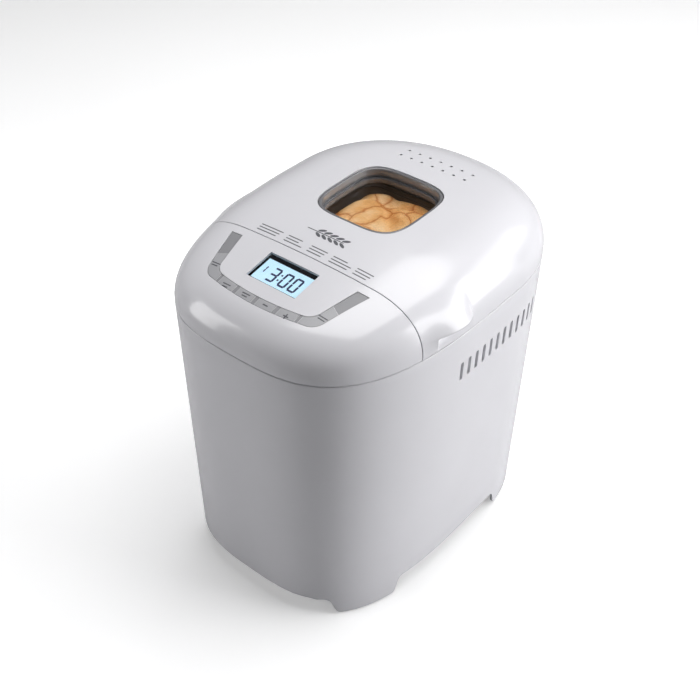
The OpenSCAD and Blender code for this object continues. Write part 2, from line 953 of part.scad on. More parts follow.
// Tapered rounded box of the pan: rim size at the top.
module pan_loft(inset, z_low, z_high) {
    slope = pan_taper / (rim_z - pan_floor_z);
    function grow(z) = -2 * (slope * (rim_z - z) + inset);
    hull() for (z = [z_low, z_high])
        in_oven(z) linear_extrude(0.01) round_rect(pan_w + grow(z), pan_l + grow(z), 18);
}

module bread_pan() {
    color("dimgray") difference() {
        union() {
            pan_loft(0, pan_floor_z, rim_z);
            in_oven(rim_z) linear_extrude(rim_t) round_rect(pan_w + 6, pan_l + 4, 20);
            for (side = [-1, 1]) in_oven(bail_pivot_z) rotate([-90 * side, 0, 0])
                translate([0, 0, pan_l / 2 - 2]) cylinder(r = 5, h = 4.5);
        }
        pan_loft(pan_wall, pan_floor_z + 1.6, rim_z + 2);
        in_oven(pan_floor_z - 1) cylinder(r = 7.5, h = 4);
        for (side = [-1, 1]) in_oven(bail_pivot_z) rotate([-90 * side, 0, 0])
            translate([0, 0, pan_l / 2 - 0.6]) cylinder(r = bail_r + running_fit, h = 8);
    }
}

module pan_base() {
    color("lightgray") in_oven(chamber_z + sheet + 1.4) difference() {
        union() {
            tube(pan_ring_r, pan_ring_r - 3, pan_floor_z - chamber_z - sheet - 1.4);
            translate([0, 0, pan_floor_z - chamber_z - sheet - 3.4]) tube(pan_ring_r, 12, 2);
        }
        for (a = [45 : 90 : 315]) rotate([0, 0, a]) translate([pan_ring_r - 6, -6, 4]) cube([10, 12, 5]);
    }
}

module pan_bush() {
    color("peru") in_oven(pan_floor_z - 2.6) difference() {
        union() {
            cylinder(r = 7.5, h = 5);
            cylinder(r = 10, h = 2.4);
        }
        translate([0, 0, -1]) cylinder(r = pan_shaft_r + running_fit, h = 10);
    }
}

module pan_bail() {
    corner = 8;
    color("silver") in_oven(bail_pivot_z) rotate([0, -bail_tilt, 0]) {
        for (side = [-1, 1]) {
            rod([0, side * (pan_l / 2 - 0.3), 0], [0, side * bail_y, 0], bail_r);
            translate([0, side * bail_y, 0]) sphere(r = bail_r);
            rod([0, side * bail_y, 0], [bail_arm - corner, side * bail_y, 0], bail_r);
            translate([bail_arm - corner, side * (bail_y - corner), 0])
                bend(corner, bail_r, side > 0 ? 0 : 270);
        }
        rod([bail_arm, -bail_y + corner, 0], [bail_arm, bail_y - corner, 0], bail_r);
    }
}

// ---------- paddle and drive ----------

module d_shaft(r, h) {
    difference() {
        cylinder(r = r, h = h);
        translate([r - flat_depth, -r, -1]) cube([r, 2 * r, h + 2]);
    }
}

module paddle_shaft() {
    wing = [20, 5, 3.4];
    wing_z = 68.6;
    color("silver") in_oven(0) {
        translate([0, 0, wing_z]) cylinder(r = pan_shaft_r, h = paddle_z - wing_z);
        translate([0, 0, paddle_z]) d_shaft(pan_shaft_r, paddle_h - 1.5);
        translate([-wing.x / 2, -wing.y / 2, wing_z]) cube(wing);
    }
}

module kneading_paddle() {
    blade = 44;
    color("dimgray") in_oven(paddle_z) difference() {
        union() {
            cylinder(r = 9, h = paddle_h);
            translate([0, 0, 0]) linear_extrude(7)
                polygon([[0, -8], [blade, -4], [blade + 3, 2], [blade, 5], [0, 8]]);
            rotate([90, 0, 0]) translate([0, 0, -2.5]) linear_extrude(5)
                polygon([[0, 2], [blade - 2, 2], [blade - 6, 24], [blade - 16, 30], [blade - 24, 26],
                    [8, 16], [0, 16]]);
        }
        translate([0, 0, -1]) d_shaft(pan_shaft_r + running_fit, paddle_h);
    }
}

module drive_shaft() {
    color("silver") in_oven(pulley_z - 2) cylinder(r = shaft_r, h = 42);
}

// Disc with two dogs that push the wings of the pan's shaft.
module drive_coupling() {
    color("dimgray") in_oven(coupling_z) difference() {
        union() {
            cylinder(r = 12, h = 2.6);
            for (a = [0, 180]) rotate([0, 0, a]) translate([4.6, 2.9, 0]) cube([4.4, 4.4, 7]);
        }
        translate([0, 0, -1]) cylinder(r = shaft_r, h = 2.8);
    }
}

module driven_pulley() {
    rim = 4;
    color("whitesmoke") in_oven(pulley_z) difference() {
        union() {
            cylinder(r = driven_r, h = pulley_h, $fn = 96);
            for (z = [0, pulley_h - 1]) translate([0, 0, z]) cylinder(r = driven_r + 3.4, h = 1, $fn = 96);
        }
        translate([0, 0, 4]) difference() {
            translate([0, 0, 0]) cylinder(r = driven_r - rim, h = 20, $fn = 96);
            translate([0, 0, -1]) cylinder(r = 12, h = 22);
        }
        for (a = [0 : 60 : 300]) rotate([0, 0, a]) translate([26, 0, -1]) cylinder(r = 8, h = 20);
        translate([0, 0, -1]) cylinder(r = shaft_r, h = 40);
    }
}

module motor_shaft() {
    color("silver") translate([0, motor_y, pulley_z - 1]) cylinder(r = motor_shaft_r, h = 98);
}

module motor_pulley() {
    color("whitesmoke") translate([0, motor_y, pulley_z]) difference() {
        union() {
            cylinder(r = motor_pulley_r, h = pulley_h);
            for (z = [0, pulley_h - 1]) translate([0, 0, z]) cylinder(r = motor_pulley_r + 3.4, h = 1);
        }
        translate([0, 0, -1]) cylinder(r = motor_shaft_r, h = 40);
    }
}

// ---------- what is drawn ----------

casing_front();
casing_right();
casing_left();
casing_rear();
casing_lugs();
base_plate();
rubber_feet();
base_screws();
front_cover();
key_inlay();
key_menu();
key_size();
key_crust();
key_minus();
key_plus();
key_start();
key_carrier();
display_lens();
display_module();
control_board();
power_board();
motor_capacitor();
cord_gland();
top_deck();
oven_chamber();
heating_element();
element_brackets();
oven_sensor();
thermal_fuse();
pan_socket();
pan_springs();
drive_chassis();
bearing_housing();
drive_bush();
motor_stator();
motor_mounts();
drive_belt();
hinge_brackets();
hinge_pin();
lid_cover();
lid_hinge();
lid_liner();
window_bezel();
window_glass();
glass_spacer();
inner_glass();
lid_gasket();
lid_screws();
bread_pan();
pan_base();
pan_bush();
pan_bail();
paddle_shaft();
kneading_paddle();
drive_shaft();
driven_pulley();
drive_coupling();
motor_shaft();
motor_pulley();
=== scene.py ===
import json
import math

import bpy
import numpy as np
from mathutils import Matrix, Vector, noise
from mathutils.bvhtree import BVHTree


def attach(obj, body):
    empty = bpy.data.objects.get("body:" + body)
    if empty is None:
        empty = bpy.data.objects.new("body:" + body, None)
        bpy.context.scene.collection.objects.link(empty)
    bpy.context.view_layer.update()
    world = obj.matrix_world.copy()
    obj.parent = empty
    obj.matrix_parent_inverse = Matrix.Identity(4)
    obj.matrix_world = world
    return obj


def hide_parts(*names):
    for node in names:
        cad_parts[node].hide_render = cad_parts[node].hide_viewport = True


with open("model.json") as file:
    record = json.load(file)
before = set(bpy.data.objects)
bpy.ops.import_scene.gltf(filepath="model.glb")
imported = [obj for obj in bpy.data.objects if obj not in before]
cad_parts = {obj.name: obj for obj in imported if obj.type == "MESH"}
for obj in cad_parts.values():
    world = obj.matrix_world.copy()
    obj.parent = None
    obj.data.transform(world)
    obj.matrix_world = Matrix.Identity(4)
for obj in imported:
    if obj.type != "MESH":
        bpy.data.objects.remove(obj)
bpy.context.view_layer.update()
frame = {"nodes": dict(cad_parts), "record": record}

# Looks of a bread machine around its CAD frame: casing, front cover and lid, key strip, display,
# window, loaf and pan lining, then the materials, floor, lights and camera.

# Millimetres throughout, in the CAD frame; MM turns them into metres.
MM = 0.001

# Casing and lid outlines, the same ones as the CAD model's.
HALF_W = 112.0
FRONT_Y = -151.5
REAR_Y = 147.5
FRONT_BOW, FRONT_POWER = 181.0, 3.14
REAR_BOW, REAR_POWER = 107.5, 2.19
SIDE_TAPER, FRONT_TAPER, REAR_TAPER = 0.0262, 0.008, 0.0184
SEAM_Z = 249.0
SEAM_GAP = 0.8
WALL = 2.5
# Angles in degrees along a quarter of the outline, closer together at the lifting tabs.
TABS_FROM, TABS_TO = 50, 70
FRONT_ANGLES = np.radians(np.concatenate([
    np.linspace(0, TABS_FROM, 28),
    np.linspace(TABS_FROM, TABS_TO, 37)[1:],
    np.linspace(TABS_TO, 90, 11)[1:],
]))
REAR_ANGLES = np.radians(np.linspace(90, 0, 50))

# Crown over the seam.
CASE_H = 298.0
SHOULDER_SIDE, SHOULDER_FRONT, SHOULDER_REAR = 52.6, 28.9, 48.0
SHOULDER_POWER = 2.58
ARCH_X, ARCH_Y = 0.0005, 0.0008
CROWN_Y = 16.6
SHOULDER_STEPS = 40
TOP_STEPS = 22
# Angles round a rounded edge, a quarter turn in four steps.
EDGE_ANGLES = [math.pi / 2 * i / 4 for i in range(5)]
SPLIT_Y = -72.4
STEAM_ROWS, STEAM_PITCH, STEAM_R = (80.7, 92.5), 10.3, 1.3

# CAD nodes that the one casing piece stands for.
CASING_NODES = ["casing_front", "casing_right", "casing_left", "casing_rear", "casing_lugs"]

# Lifting tabs: the lid's side stands out over a lip, with a hollow under it for fingertips.
# A rise is a share of the shoulder's height, from 0 at the seam to 1 at the top.
TAB_FRONT_Y, TAB_PEAK_Y = -59.0, -37.0
TAB_RUN_IN, TAB_RUN_OUT = 39.0, 17.0
TAB_REACH, TAB_LIP_SHARE = 8.0, 0.86
TAB_HOLLOW, TAB_HOLLOW_RUN = 4.5, 3.0
TAB_RISE, TAB_TOP_RISE = 0.34, 0.9

# Cutting solids reach at least this far from the machine's middle.
FAR = 200

# Feet, vents and hinge.
LUG_Z = 2.0
EDGE_Z = 19.0
FRONT_LUG = (70.0, -78.0)
REAR_LUG = (66.0, 48.0)
LUG_SLANT = 5.0
SLOT_COUNT, SLOT_PITCH, SLOT_W, SLOT_H = 12, 9.2, 3.6, 17.0
SLOT_FIRST_Y, SLOT_LOW_Z = -27.4, 204.3
GLAND_Z, GLAND_R = 42.0, 8.2
HINGE_SPAN, HINGE_R, HINGE_ROOM = 56.0, 4.0, 1.5

# Window, glass and oven.
OVEN_Y = 15.0
WINDOW_W, WINDOW_L, WINDOW_POWER = 80.5, 82.3, 3.84
BEZEL_TOP_Z = CASE_H - 1.8
BEZEL_GAP, BEZEL_RIM, GLASS_RIM = 0.5, 2.7, 2.6
GLASS_Z, GLASS_T, GLASS_GAP = CASE_H - 9.5, 2.5, 3.0
PAN_FLOOR_Z, PAN_RIM_Z = 78.0, 198.0
PAN_W, PAN_L, PAN_TAPER, PAN_WALL = 124.0, 136.0, 4.0, 1.4
CORNER_R = 20.0

# Loaf: half its width and length in the pan, how far its crown stands over its rim, and
# how square its corners and its dome are.
LOAF_X, LOAF_Y, LOAF_DOME = 57.0, 62.0, 82.0
LOAF_CORNERS, DOME_POWER = 5.0, 4.2

# Control panel: its own plane, tilted with the crown.
PANEL_Y = -96.5
PANEL_PITCH = math.atan(2 * ARCH_Y * (CROWN_Y - PANEL_Y))
STRIP_BOW, STRIP_END = 210.0, 16.2
OUTER_EDGE = dict(half=59.4, slope=0.3, low=-32.6, r=13.0)
INNER_EDGE = dict(half=50.4, slope=0.25, low=-25.8, r=12.0)
KEY_PITCH, KEY_W = 18.7, 14.6
KEY_GAP = 0.35
KEY_FLOOR, CARRIER_FLOOR = 4.5, 6.4
KEY_NAMES = ("menu", "size", "crust", "minus", "plus", "start")
PANEL_LOW, PANEL_HIGH = -12, 18
DISPLAY_W, DISPLAY_L, DISPLAY_R = 45.6, 27.0, 0.8
FIELD_W, FIELD_L, FIELD_MIDDLE = 42.6, 21.6, (1.0, -1.6)
FIELD_Z, PRINT_T = -1.72, 0.06


# ---------- outlines ----------

def quarter(a, b, power, t):
    """Points of a quarter superellipse at the angles t from its Y axis."""
    r = ((np.sin(t) / a) ** power + (np.abs(np.cos(t)) / b) ** power) ** (-1 / power)
    return r * np.sin(t), r * np.cos(t)


def outline(half, y_front, y_rear):
    """Plan outline of the casing, anticlockwise from its front middle."""
    scale = half / HALF_W
    front_bow, rear_bow = FRONT_BOW * scale, REAR_BOW * scale
    x, y = quarter(half, front_bow, FRONT_POWER, FRONT_ANGLES)
    front = np.column_stack([x, y_front + front_bow - y])
    x, y = quarter(half, rear_bow, REAR_POWER, REAR_ANGLES)
    rear = np.column_stack([x, y_rear - rear_bow + y])
    right = np.vstack([front, rear])
    return np.vstack([right, right[-2:0:-1] * (-1, 1)])


def case_outline(z, inset):
    """The casing's outline at a height, moved in by a wall's thickness or a rounding."""
    drop = SEAM_Z - z
    return outline(HALF_W - SIDE_TAPER * drop - inset,
                   FRONT_Y + FRONT_TAPER * drop + inset,
                   REAR_Y - REAR_TAPER * drop - inset)


def shoulder_outline(g, inset):
    """Outline on the crown's shoulder, from the seam (g = 0) to the arched top (g = 1)."""
    return outline(HALF_W - inset - SHOULDER_SIDE * g,
                   FRONT_Y + inset + SHOULDER_FRONT * g,
                   REAR_Y - inset - SHOULDER_REAR * g)


def top_z(x, y, inset=0.0):
    """Height of the arched top over a point."""
    return CASE_H - inset - ARCH_Y * (y - CROWN_Y) ** 2 - ARCH_X * x * x


def squircle(w, l, steps=144):
    """Rounded square of the window."""
    t = np.linspace(0, 2 * math.pi, steps, endpoint=False)
    c, s = np.cos(t), np.sin(t)
    r = ((np.abs(c) * 2 / w) ** WINDOW_POWER + (np.abs(s) * 2 / l) ** WINDOW_POWER) ** (-1 / WINDOW_POWER)
    return np.column_stack([r * c, OVEN_Y + r * s])


def round_rect(w, l, r, centre=(0.0, 0.0), steps=10):
    """Rectangle with rounded corners, anticlockwise."""
    points = []
    for corner, (sx, sy) in enumerate(((1, -1), (1, 1), (-1, 1), (-1, -1))):
        start = math.pi * (corner - 1) / 2
        for i in range(steps + 1):
            t = start + math.pi / 2 * i / steps
            points.append((centre[0] + sx * (w / 2 - r) + r * math.cos(t),
                           centre[1] + sy * (l / 2 - r) + r * math.sin(t)))
    return np.array(points)


def circle(r, centre=(0.0, 0.0), steps=32):
    t = np.linspace(0, 2 * math.pi, steps, endpoint=False)
    return np.column_stack([centre[0] + r * np.cos(t), centre[1] + r * np.sin(t)])


def rounded(corners, radii, steps=6):
    """Polygon with each corner rounded to its own radius."""
    corners = [Vector(c) for c in corners]
    points = []
    for i, here in enumerate(corners):
        back = (corners[i - 1] - here).normalized()
        on = (corners[(i + 1) % len(corners)] - here).normalized()
        if radii[i] == 0:
            points.append(here)
            continue
        half = back.angle(on) / 2
        reach = radii[i] / math.tan(half)
        centre = here + (back + on).normalized() * radii[i] / math.sin(half)
        a, b = here + back * reach - centre, here + on * reach - centre
        for k in range(steps + 1):
            way = a.lerp(b, k / steps).normalized()
            points.append(centre + way * radii[i])
    return np.array([tuple(p) for p in points])


# ---------- meshes ----------

def at_height(points, z):
    """Plan points lifted to a height, or to one height each."""
    return np.column_stack([points, np.broadcast_to(z, len(points))])


def ring_faces(rings, closed):
    """Quads between consecutive rings; closed joins the last ring to the first."""
    n = len(rings[0])
    faces = []
    for j in range(len(rings) if closed else len(rings) - 1):
        low, high = j * n, (j + 1) % len(rings) * n
        for i in range(n):
            k = (i + 1) % n
            faces.append((low + i, low + k, high + k, high + i))
    return faces


def shell(rings):
    """Closed surface whose last ring joins its first."""
    return np.vstack(rings), ring_faces(rings, True)


def loft(rings, apex=None):
    """Closed solid through a stack of rings, with an optional point over the last one."""
    n = len(rings[0])
    points = np.vstack(rings)
    faces = ring_faces(rings, False) + [tuple(range(n - 1, -1, -1))]
    last = (len(rings) - 1) * n
    if apex is None:
        return points, faces + [tuple(range(last, last + n))]
    fan = [(last + i, last + (i + 1) % n, last + n) for i in range(n)]
    return np.vstack([points, apex]), faces + fan


def prism(points, z_low, z_high):
    """Upright solid over plan points."""
    return loft([at_height(points, z_low), at_height(points, z_high)])


def box(low, high):
    """Box between two opposite corners."""
    (x0, y0, z0), (x1, y1, z1) = low, high
    return prism(np.array([(x0, y0), (x1, y0), (x1, y1), (x0, y1)]), z0, z1)


def along_x(solid):
    """Turns a prism of (y, z) points so that its length lies along X."""
    points, faces = solid
    return points[:, [2, 0, 1]], faces


def along_y(solid):
    """Turns a prism of (x, z) points so that its length lies along Y."""
    points, faces = solid
    return points[:, [0, 2, 1]], [face[::-1] for face in faces]


def on_panel(solid):
    """Moves a solid from the panel's plane into the machine's frame."""
    points, faces = solid
    turn = Matrix.Rotation(PANEL_PITCH, 3, "X")
    origin = Vector((0, PANEL_Y, top_z(0, PANEL_Y)))
    return np.array([tuple(turn @ Vector(p) + origin) for p in points]), faces


def together(solids):
    """One mesh of several separate solids."""
    points, faces, start = [], [], 0
    for p, f in solids:
        points.append(p)
        faces += [tuple(i + start for i in face) for face in f]
        start += len(p)
    return np.vstack(points), faces


def make(name, solid, smooth=True):
    """Blender object of a solid given in millimetres."""
    points, faces = solid
    mesh = bpy.data.meshes.new(name)
    mesh.from_pydata((points * MM).tolist(), [], faces)
    mesh.update()
    mesh.polygons.foreach_set("use_smooth", [smooth] * len(mesh.polygons))
    obj = bpy.data.objects.new(name, mesh)
    bpy.context.scene.collection.objects.link(obj)
    return obj


def bake(obj):
    """Applies an object's modifiers."""
    bpy.context.view_layer.update()
    depsgraph = bpy.context.evaluated_depsgraph_get()
    mesh = bpy.data.meshes.new_from_object(obj.evaluated_get(depsgraph))
    obj.modifiers.clear()
    old, obj.data = obj.data, mesh
    bpy.data.meshes.remove(old)
    mesh.name = obj.name


def combine(obj, solid, how="DIFFERENCE"):
    """Cuts a solid out of an object, adds it, or keeps what they share."""
    tool = make("tool", solid)
    step = obj.modifiers.new("combine", "BOOLEAN")
    step.operation = how
    step.solver = "EXACT"
    step.object = tool
    bake(obj)
    bpy.data.objects.remove(tool, do_unlink=True)


def crease(obj, degrees=32):
    """Smooth shading, with sharp edges where faces meet at more than an angle."""
    obj.data.polygons.foreach_set("use_smooth", [True] * len(obj.data.polygons))
    obj.data.set_sharp_from_angle(angle=math.radians(degrees))


def tree_of(obj):
    """Search tree of an object's faces."""
    return BVHTree.FromPolygons([v.co for v in obj.data.vertices], [p.vertices for p in obj.data.polygons])


def copy_of(obj, name):
    """A copy of an object to work on."""
    copy = obj.copy()
    copy.data = obj.data.copy()
    copy.name = name
    copy.data.name = name
    bpy.context.scene.collection.objects.link(copy)
    return copy


def solid_of(obj):
    """An object's mesh as a solid in millimetres; the object itself is removed."""
    mesh = obj.data
    points = np.array([v.co[:] for v in mesh.vertices]) / MM
    faces = [tuple(p.vertices) for p in mesh.polygons]
    bpy.data.objects.remove(obj, do_unlink=True)
    return points, faces


# ---------- casing ----------

def case_rings():
    """Outer wall upwards to its rounded top edge, then the inner wall down again."""
    r, low_z, next_z = 0.9, 1.0, 6
    levels = np.concatenate([[low_z], np.linspace(next_z, SEAM_Z - r, 26)])
    rings = [at_height(case_outline(z, 0), z) for z in levels]
    for t in EDGE_ANGLES[1:]:
        rings.append(at_height(case_outline(SEAM_Z, r * (1 - math.cos(t))), SEAM_Z - r + r * math.sin(t)))
    rings += [at_height(case_outline(z, WALL), z) for z in np.linspace(SEAM_Z, low_z, 12)]
    return rings


def notch(lug_low, lug_high):
    """Opening between two lugs, with rounded corners, as side-on points."""
    far, below, foot_r, top_r = 220, -1, 3, 5
    corners = [(-far, below), (far, below), (far, LUG_Z), (lug_high + LUG_SLANT, LUG_Z), (lug_high, EDGE_Z),
               (lug_low, EDGE_Z), (lug_low - LUG_SLANT, LUG_Z), (-far, LUG_Z)]
    return rounded(corners, [0, 0, 0, foot_r, top_r, top_r, foot_r, 0])


def side_slots():
    """Round-ended slots right across both sides."""
    half, r = 130, SLOT_W / 2 - 0.01
    slots = []
    for i in range(SLOT_COUNT):
        centre = (SLOT_FIRST_Y + i * SLOT_PITCH, SLOT_LOW_Z + SLOT_H / 2)
        slots.append(along_x(prism(round_rect(SLOT_W, SLOT_H, r, centre), -half, half)))
    return together(slots)


def vent_screen():
    """Pale inner band that shows through the side slots."""
    near, far = WALL + 1.5, WALL + 2.5
    low_z, high_z = 197, 229
    section = ((low_z, near), (high_z, near), (high_z, far), (low_z, far))
    rings = [at_height(case_outline(z, inset), z) for z, inset in section]
    obj = make("vent_screen", shell(rings))
    crease(obj)
    return obj


def hinge_space(z_low):
    """Room for the hinge at the rear edge."""
    half, room = HINGE_SPAN / 2 + 1, HINGE_R + HINGE_ROOM
    return box((-half, REAR_Y - room, z_low), (half, REAR_Y + 15, SEAM_Z + room))


def casing():
    """One smooth wall with lugs between its lower notches, side slots and holes for gland and hinge."""
    obj = make("casing", shell(case_rings()))
    combine(obj, along_y(prism(notch(-FRONT_LUG[0], FRONT_LUG[0]), -FAR, 0)))
    combine(obj, along_y(prism(notch(-REAR_LUG[0], REAR_LUG[0]), 0, FAR)))
    combine(obj, along_x(prism(notch(FRONT_LUG[1], REAR_LUG[1]), -FAR, FAR)))
    combine(obj, side_slots())
    combine(obj, along_y(prism(circle(GLAND_R, (0, GLAND_Z)), REAR_Y - 20, REAR_Y + 20)))
    combine(obj, hinge_space(SEAM_Z - HINGE_R - HINGE_ROOM))
    crease(obj)
    return obj


# ---------- crown: lid and front cover ----------

def tab_profile(y):
    """Share of a tab's reach along the lid's side: a gentle run in from the front, and a rounded end."""
    run_in = np.cos(np.clip((TAB_PEAK_Y - y) / TAB_RUN_IN, 0, 1) * math.pi / 2) ** 2
    run_out = (1 - np.clip((y - TAB_PEAK_Y) / TAB_RUN_OUT, 0, 1) ** 2) ** 0.75
    return run_in * run_out


def tab_bulge(y, rise):
    """How far the lid's side stands out around a tab's lip; under the lip it goes in, for fingertips."""
    profile = tab_profile(y)
    if rise >= TAB_RISE:
        fade = min(1.0, (rise - TAB_RISE) / (TAB_TOP_RISE - TAB_RISE))
        edge = min(1.0, TAB_LIP_SHARE + 5 * (rise - TAB_RISE))
        return TAB_REACH * edge * (1 - fade) ** 1.5 * profile ** (1 + 0.8 * fade)
    under = rise / TAB_RISE
    cut = np.sin(np.clip((y - TAB_FRONT_Y) / TAB_HOLLOW_RUN, 0, 1) * math.pi / 2) ** 2
    along = np.clip((y - TAB_FRONT_Y) / (TAB_PEAK_Y + TAB_RUN_OUT - TAB_FRONT_Y), 0, 1)
    standing = TAB_REACH * TAB_LIP_SHARE * profile * under
    hollow = TAB_HOLLOW * (1 - along) ** 0.8 * under ** 1.5
    return standing * (1 - cut) - hollow * cut


def shoulder_steps():
    """Angles up the shoulder, with extra ones at the tabs' lips."""
    angles = [math.pi / 2 * (i / SHOULDER_STEPS) ** 1.2 for i in range(1, SHOULDER_STEPS + 1)]
    for offset in (-0.03, -0.006, 0.001, 0.012, 0.03):
        rise = TAB_RISE + offset
        angles.append(math.acos((1 - rise ** SHOULDER_POWER) ** (1 / SHOULDER_POWER)))
    return sorted(angles)


def crown(inset, z_low, lip=0.0, tabs=False):
    """Closed dome over the seam. The lip rounds its bottom edge.

    With tabs it has the lifting tabs; where it is moved in, for the inner face, only their hollows.
    """
    rings = []
    for t in np.linspace(0, math.pi / 2, 4) if lip else [math.pi / 2]:
        plan = shoulder_outline(0, inset + lip * (1 - math.sin(t)))
        rings.append(at_height(plan, z_low + lip * (1 - math.cos(t))))
    for angle in shoulder_steps():
        plan = shoulder_outline(1 - math.cos(angle), inset)
        rise = max(0.0, 1 - max(0.0, math.cos(angle)) ** SHOULDER_POWER) ** (1 / SHOULDER_POWER)
        height = SEAM_Z + (top_z(plan[:, 0], plan[:, 1], inset) - SEAM_Z) * rise
        if tabs:
            shift = tab_bulge(plan[:, 1], rise)
            plan[:, 0] += np.sign(plan[:, 0]) * (np.minimum(shift, 0) if inset else shift)
        rings.append(at_height(plan, height))
    flat = shoulder_outline(1, inset)
    middle = np.array((0, CROWN_Y))
    for k in np.linspace(1, 0, TOP_STEPS, endpoint=False)[1:]:
        plan = middle + (flat - middle) * k
        rings.append(at_height(plan, top_z(plan[:, 0], plan[:, 1], inset)))
    return loft(rings, [[0, CROWN_Y, top_z(0, CROWN_Y, inset)]])


def beyond(y, side):
    """Everything behind a plane across Y, or ahead of it."""
    low, high = (y, y + 2 * FAR) if side > 0 else (y - 2 * FAR, y)
    return box((-FAR, low, 100), (FAR, high, 400))


def hollow_crown(name, side):
    """Half of the dome with its wall thickness, closed by a wall at the split."""
    edge = SPLIT_Y + side * SEAM_GAP / 2
    space = make("space", crown(WALL, SEAM_Z - 4, tabs=side > 0))
    combine(space, beyond(edge + side * WALL, side), "INTERSECT")
    obj = make(name, crown(0, SEAM_Z + SEAM_GAP, lip=0.4, tabs=side > 0))
    combine(obj, beyond(edge, side), "INTERSECT")
    combine(obj, solid_of(space))
    return obj


def steam_holes():
    """Two rows of seven holes through the lid's rear."""
    low_z, high_z = 255, 320
    holes = []
    for i in range(-3, 4):
        for y in STEAM_ROWS:
            holes.append(prism(circle(STEAM_R, (i * STEAM_PITCH, y), 24), low_z, high_z))
    return together(holes)


def lid_shell():
    """The lid's outer cover, open at the window, the steam holes and the hinge."""
    obj = hollow_crown("lid_shell", 1)
    combine(obj, prism(squircle(WINDOW_W, WINDOW_L), CASE_H - 20, CASE_H + 20))
    combine(obj, steam_holes())
    combine(obj, hinge_space(SEAM_Z - 20))
    crease(obj)
    return obj


def cover_shell():
    """The fixed front cover, open at the key strip and the display."""
    obj = hollow_crown("cover_shell", -1)
    combine(obj, on_panel(strip_solid(0.3)))
    combine(obj, on_panel(prism(round_rect(DISPLAY_W, DISPLAY_L, DISPLAY_R), PANEL_LOW, PANEL_HIGH)))
    crease(obj)
    return obj


# ---------- control panel ----------

def edge_line(half, slope, low, r, grow=0.0, steps=22):
    """Left, bottom and right of one edge of the key strip, from its left end round to its right end."""
    lean = math.hypot(1, slope)
    half, low, r, bow = half + grow * lean, low - grow, r + grow, STRIP_BOW + grow
    a, centre_y, reach = half - r * lean, low + bow, bow - r
    # Middle of the corner's arc: on the side line moved in, and at reach from the bow's middle.
    qa = 1 + slope ** 2
    qb = 2 * a * slope - 2 * centre_y
    qc = a * a + centre_y ** 2 - reach ** 2
    y = (-qb - math.sqrt(qb * qb - 4 * qa * qc)) / (2 * qa)
    corner = Vector((a + slope * y, y))
    from_bow = (corner - Vector((0, centre_y))).normalized()
    side_way = Vector((1, -slope)).normalized()
    right = [Vector((half + slope * (STRIP_END + grow), STRIP_END + grow))]
    corner_steps = 8
    for k in range(corner_steps + 1):
        right.append(corner + side_way.slerp(from_bow, k / corner_steps) * r)
    end = math.atan2(from_bow.x, -from_bow.y)
    for k in range(1, steps // 2 + 1):
        t = end * (1 - 2 * k / steps)
        right.append(Vector((bow * math.sin(t), centre_y - bow * math.cos(t))))
    left = [Vector((-p.x, p.y)) for p in right[:-1]]
    return np.array([tuple(p) for p in left + right[::-1]])


def strip_solid(grow=0.0):
    """The U-shaped key strip as a tall solid in the panel's plane."""
    outer = edge_line(**OUTER_EDGE, grow=grow)
    inner = edge_line(**INNER_EDGE, grow=-grow)
    if grow:
        # Moved inward, the inner edge stops short; its ends are brought level with the outer edge's.
        inner[0][1] = inner[-1][1] = outer[0][1]
    points = np.vstack([outer, inner[::-1]])
    return prism(points, PANEL_LOW, PANEL_HIGH)


def key_region(i, grow):
    """Where each key lies along the strip: 1 and 6 at the corners, 2 to 5 along the front."""
    if i in (1, 6):
        # The right-hand corner key, from its cut towards key 5 round to its cut towards the blank end.
        corners = [(38.5 - grow, -50), (72, -50), (70, -15), (62 + grow, -11 + grow), (38 - grow, 2 + grow),
                   (38.5 - grow, -15)]
        points = np.array(corners) if i == 6 else np.array([(-x, y) for x, y in corners[::-1]])
    else:
        length, middle_y = 34, -27
        points = round_rect(KEY_W + 2 * grow, length, 0.4, ((i - 3.5) * KEY_PITCH, middle_y), 3)
    return prism(points, PANEL_LOW, PANEL_HIGH)


def panel_slab(name, depth, floor):
    """The strip between the crown, lowered by a depth, and a floor under the panel's plane."""
    around = box((-75, -140, 240), (75, -72, 320))
    over_floor = box((-90, -60, -floor), (90, 40, 20))
    obj = make(name, crown(depth, SEAM_Z))
    combine(obj, around, "INTERSECT")
    combine(obj, on_panel(strip_solid()), "INTERSECT")
    combine(obj, on_panel(over_floor), "INTERSECT")
    return obj


def key_cap(i, slab):
    """One key's cap, cut out of the strip."""
    obj = copy_of(slab, "keycap_" + KEY_NAMES[i - 1])
    combine(obj, on_panel(key_region(i, 0)), "INTERSECT")
    crease(obj)
    return obj


def key_spacers():
    """What lies between the keys and at the strip's blank ends."""
    obj = panel_slab("key_spacers", 0.35, KEY_FLOOR)
    for i in range(1, 7):
        combine(obj, on_panel(key_region(i, KEY_GAP)))
    crease(obj)
    return obj


def key_dividers():
    """Thin white ribs that show as lines at the keys' ends, standing on the key carrier."""
    obj = panel_slab("key_dividers", 0.2, CARRIER_FLOOR)
    for i in range(1, 7):
        rib = make("rib", on_panel(key_region(i, KEY_GAP - 0.02)))
        combine(rib, on_panel(key_region(i, 0.03)))
        cut = solid_of(rib)
        keep = copy_of(obj, "divider_%d" % i)
        combine(keep, cut, "INTERSECT")
        crease(keep)
        yield keep
    bpy.data.objects.remove(obj, do_unlink=True)


def edge_chains(outline):
    """Lower and upper edge of a convex anticlockwise outline, both from its left end to its right."""
    first, last, n = outline[:, 0].argmin(), outline[:, 0].argmax(), len(outline)
    low = np.array([outline[(first + k) % n] for k in range((last - first) % n + 1)])
    high = np.array([outline[(last + k) % n] for k in range((first - last) % n + 1)])[::-1]
    return low, high


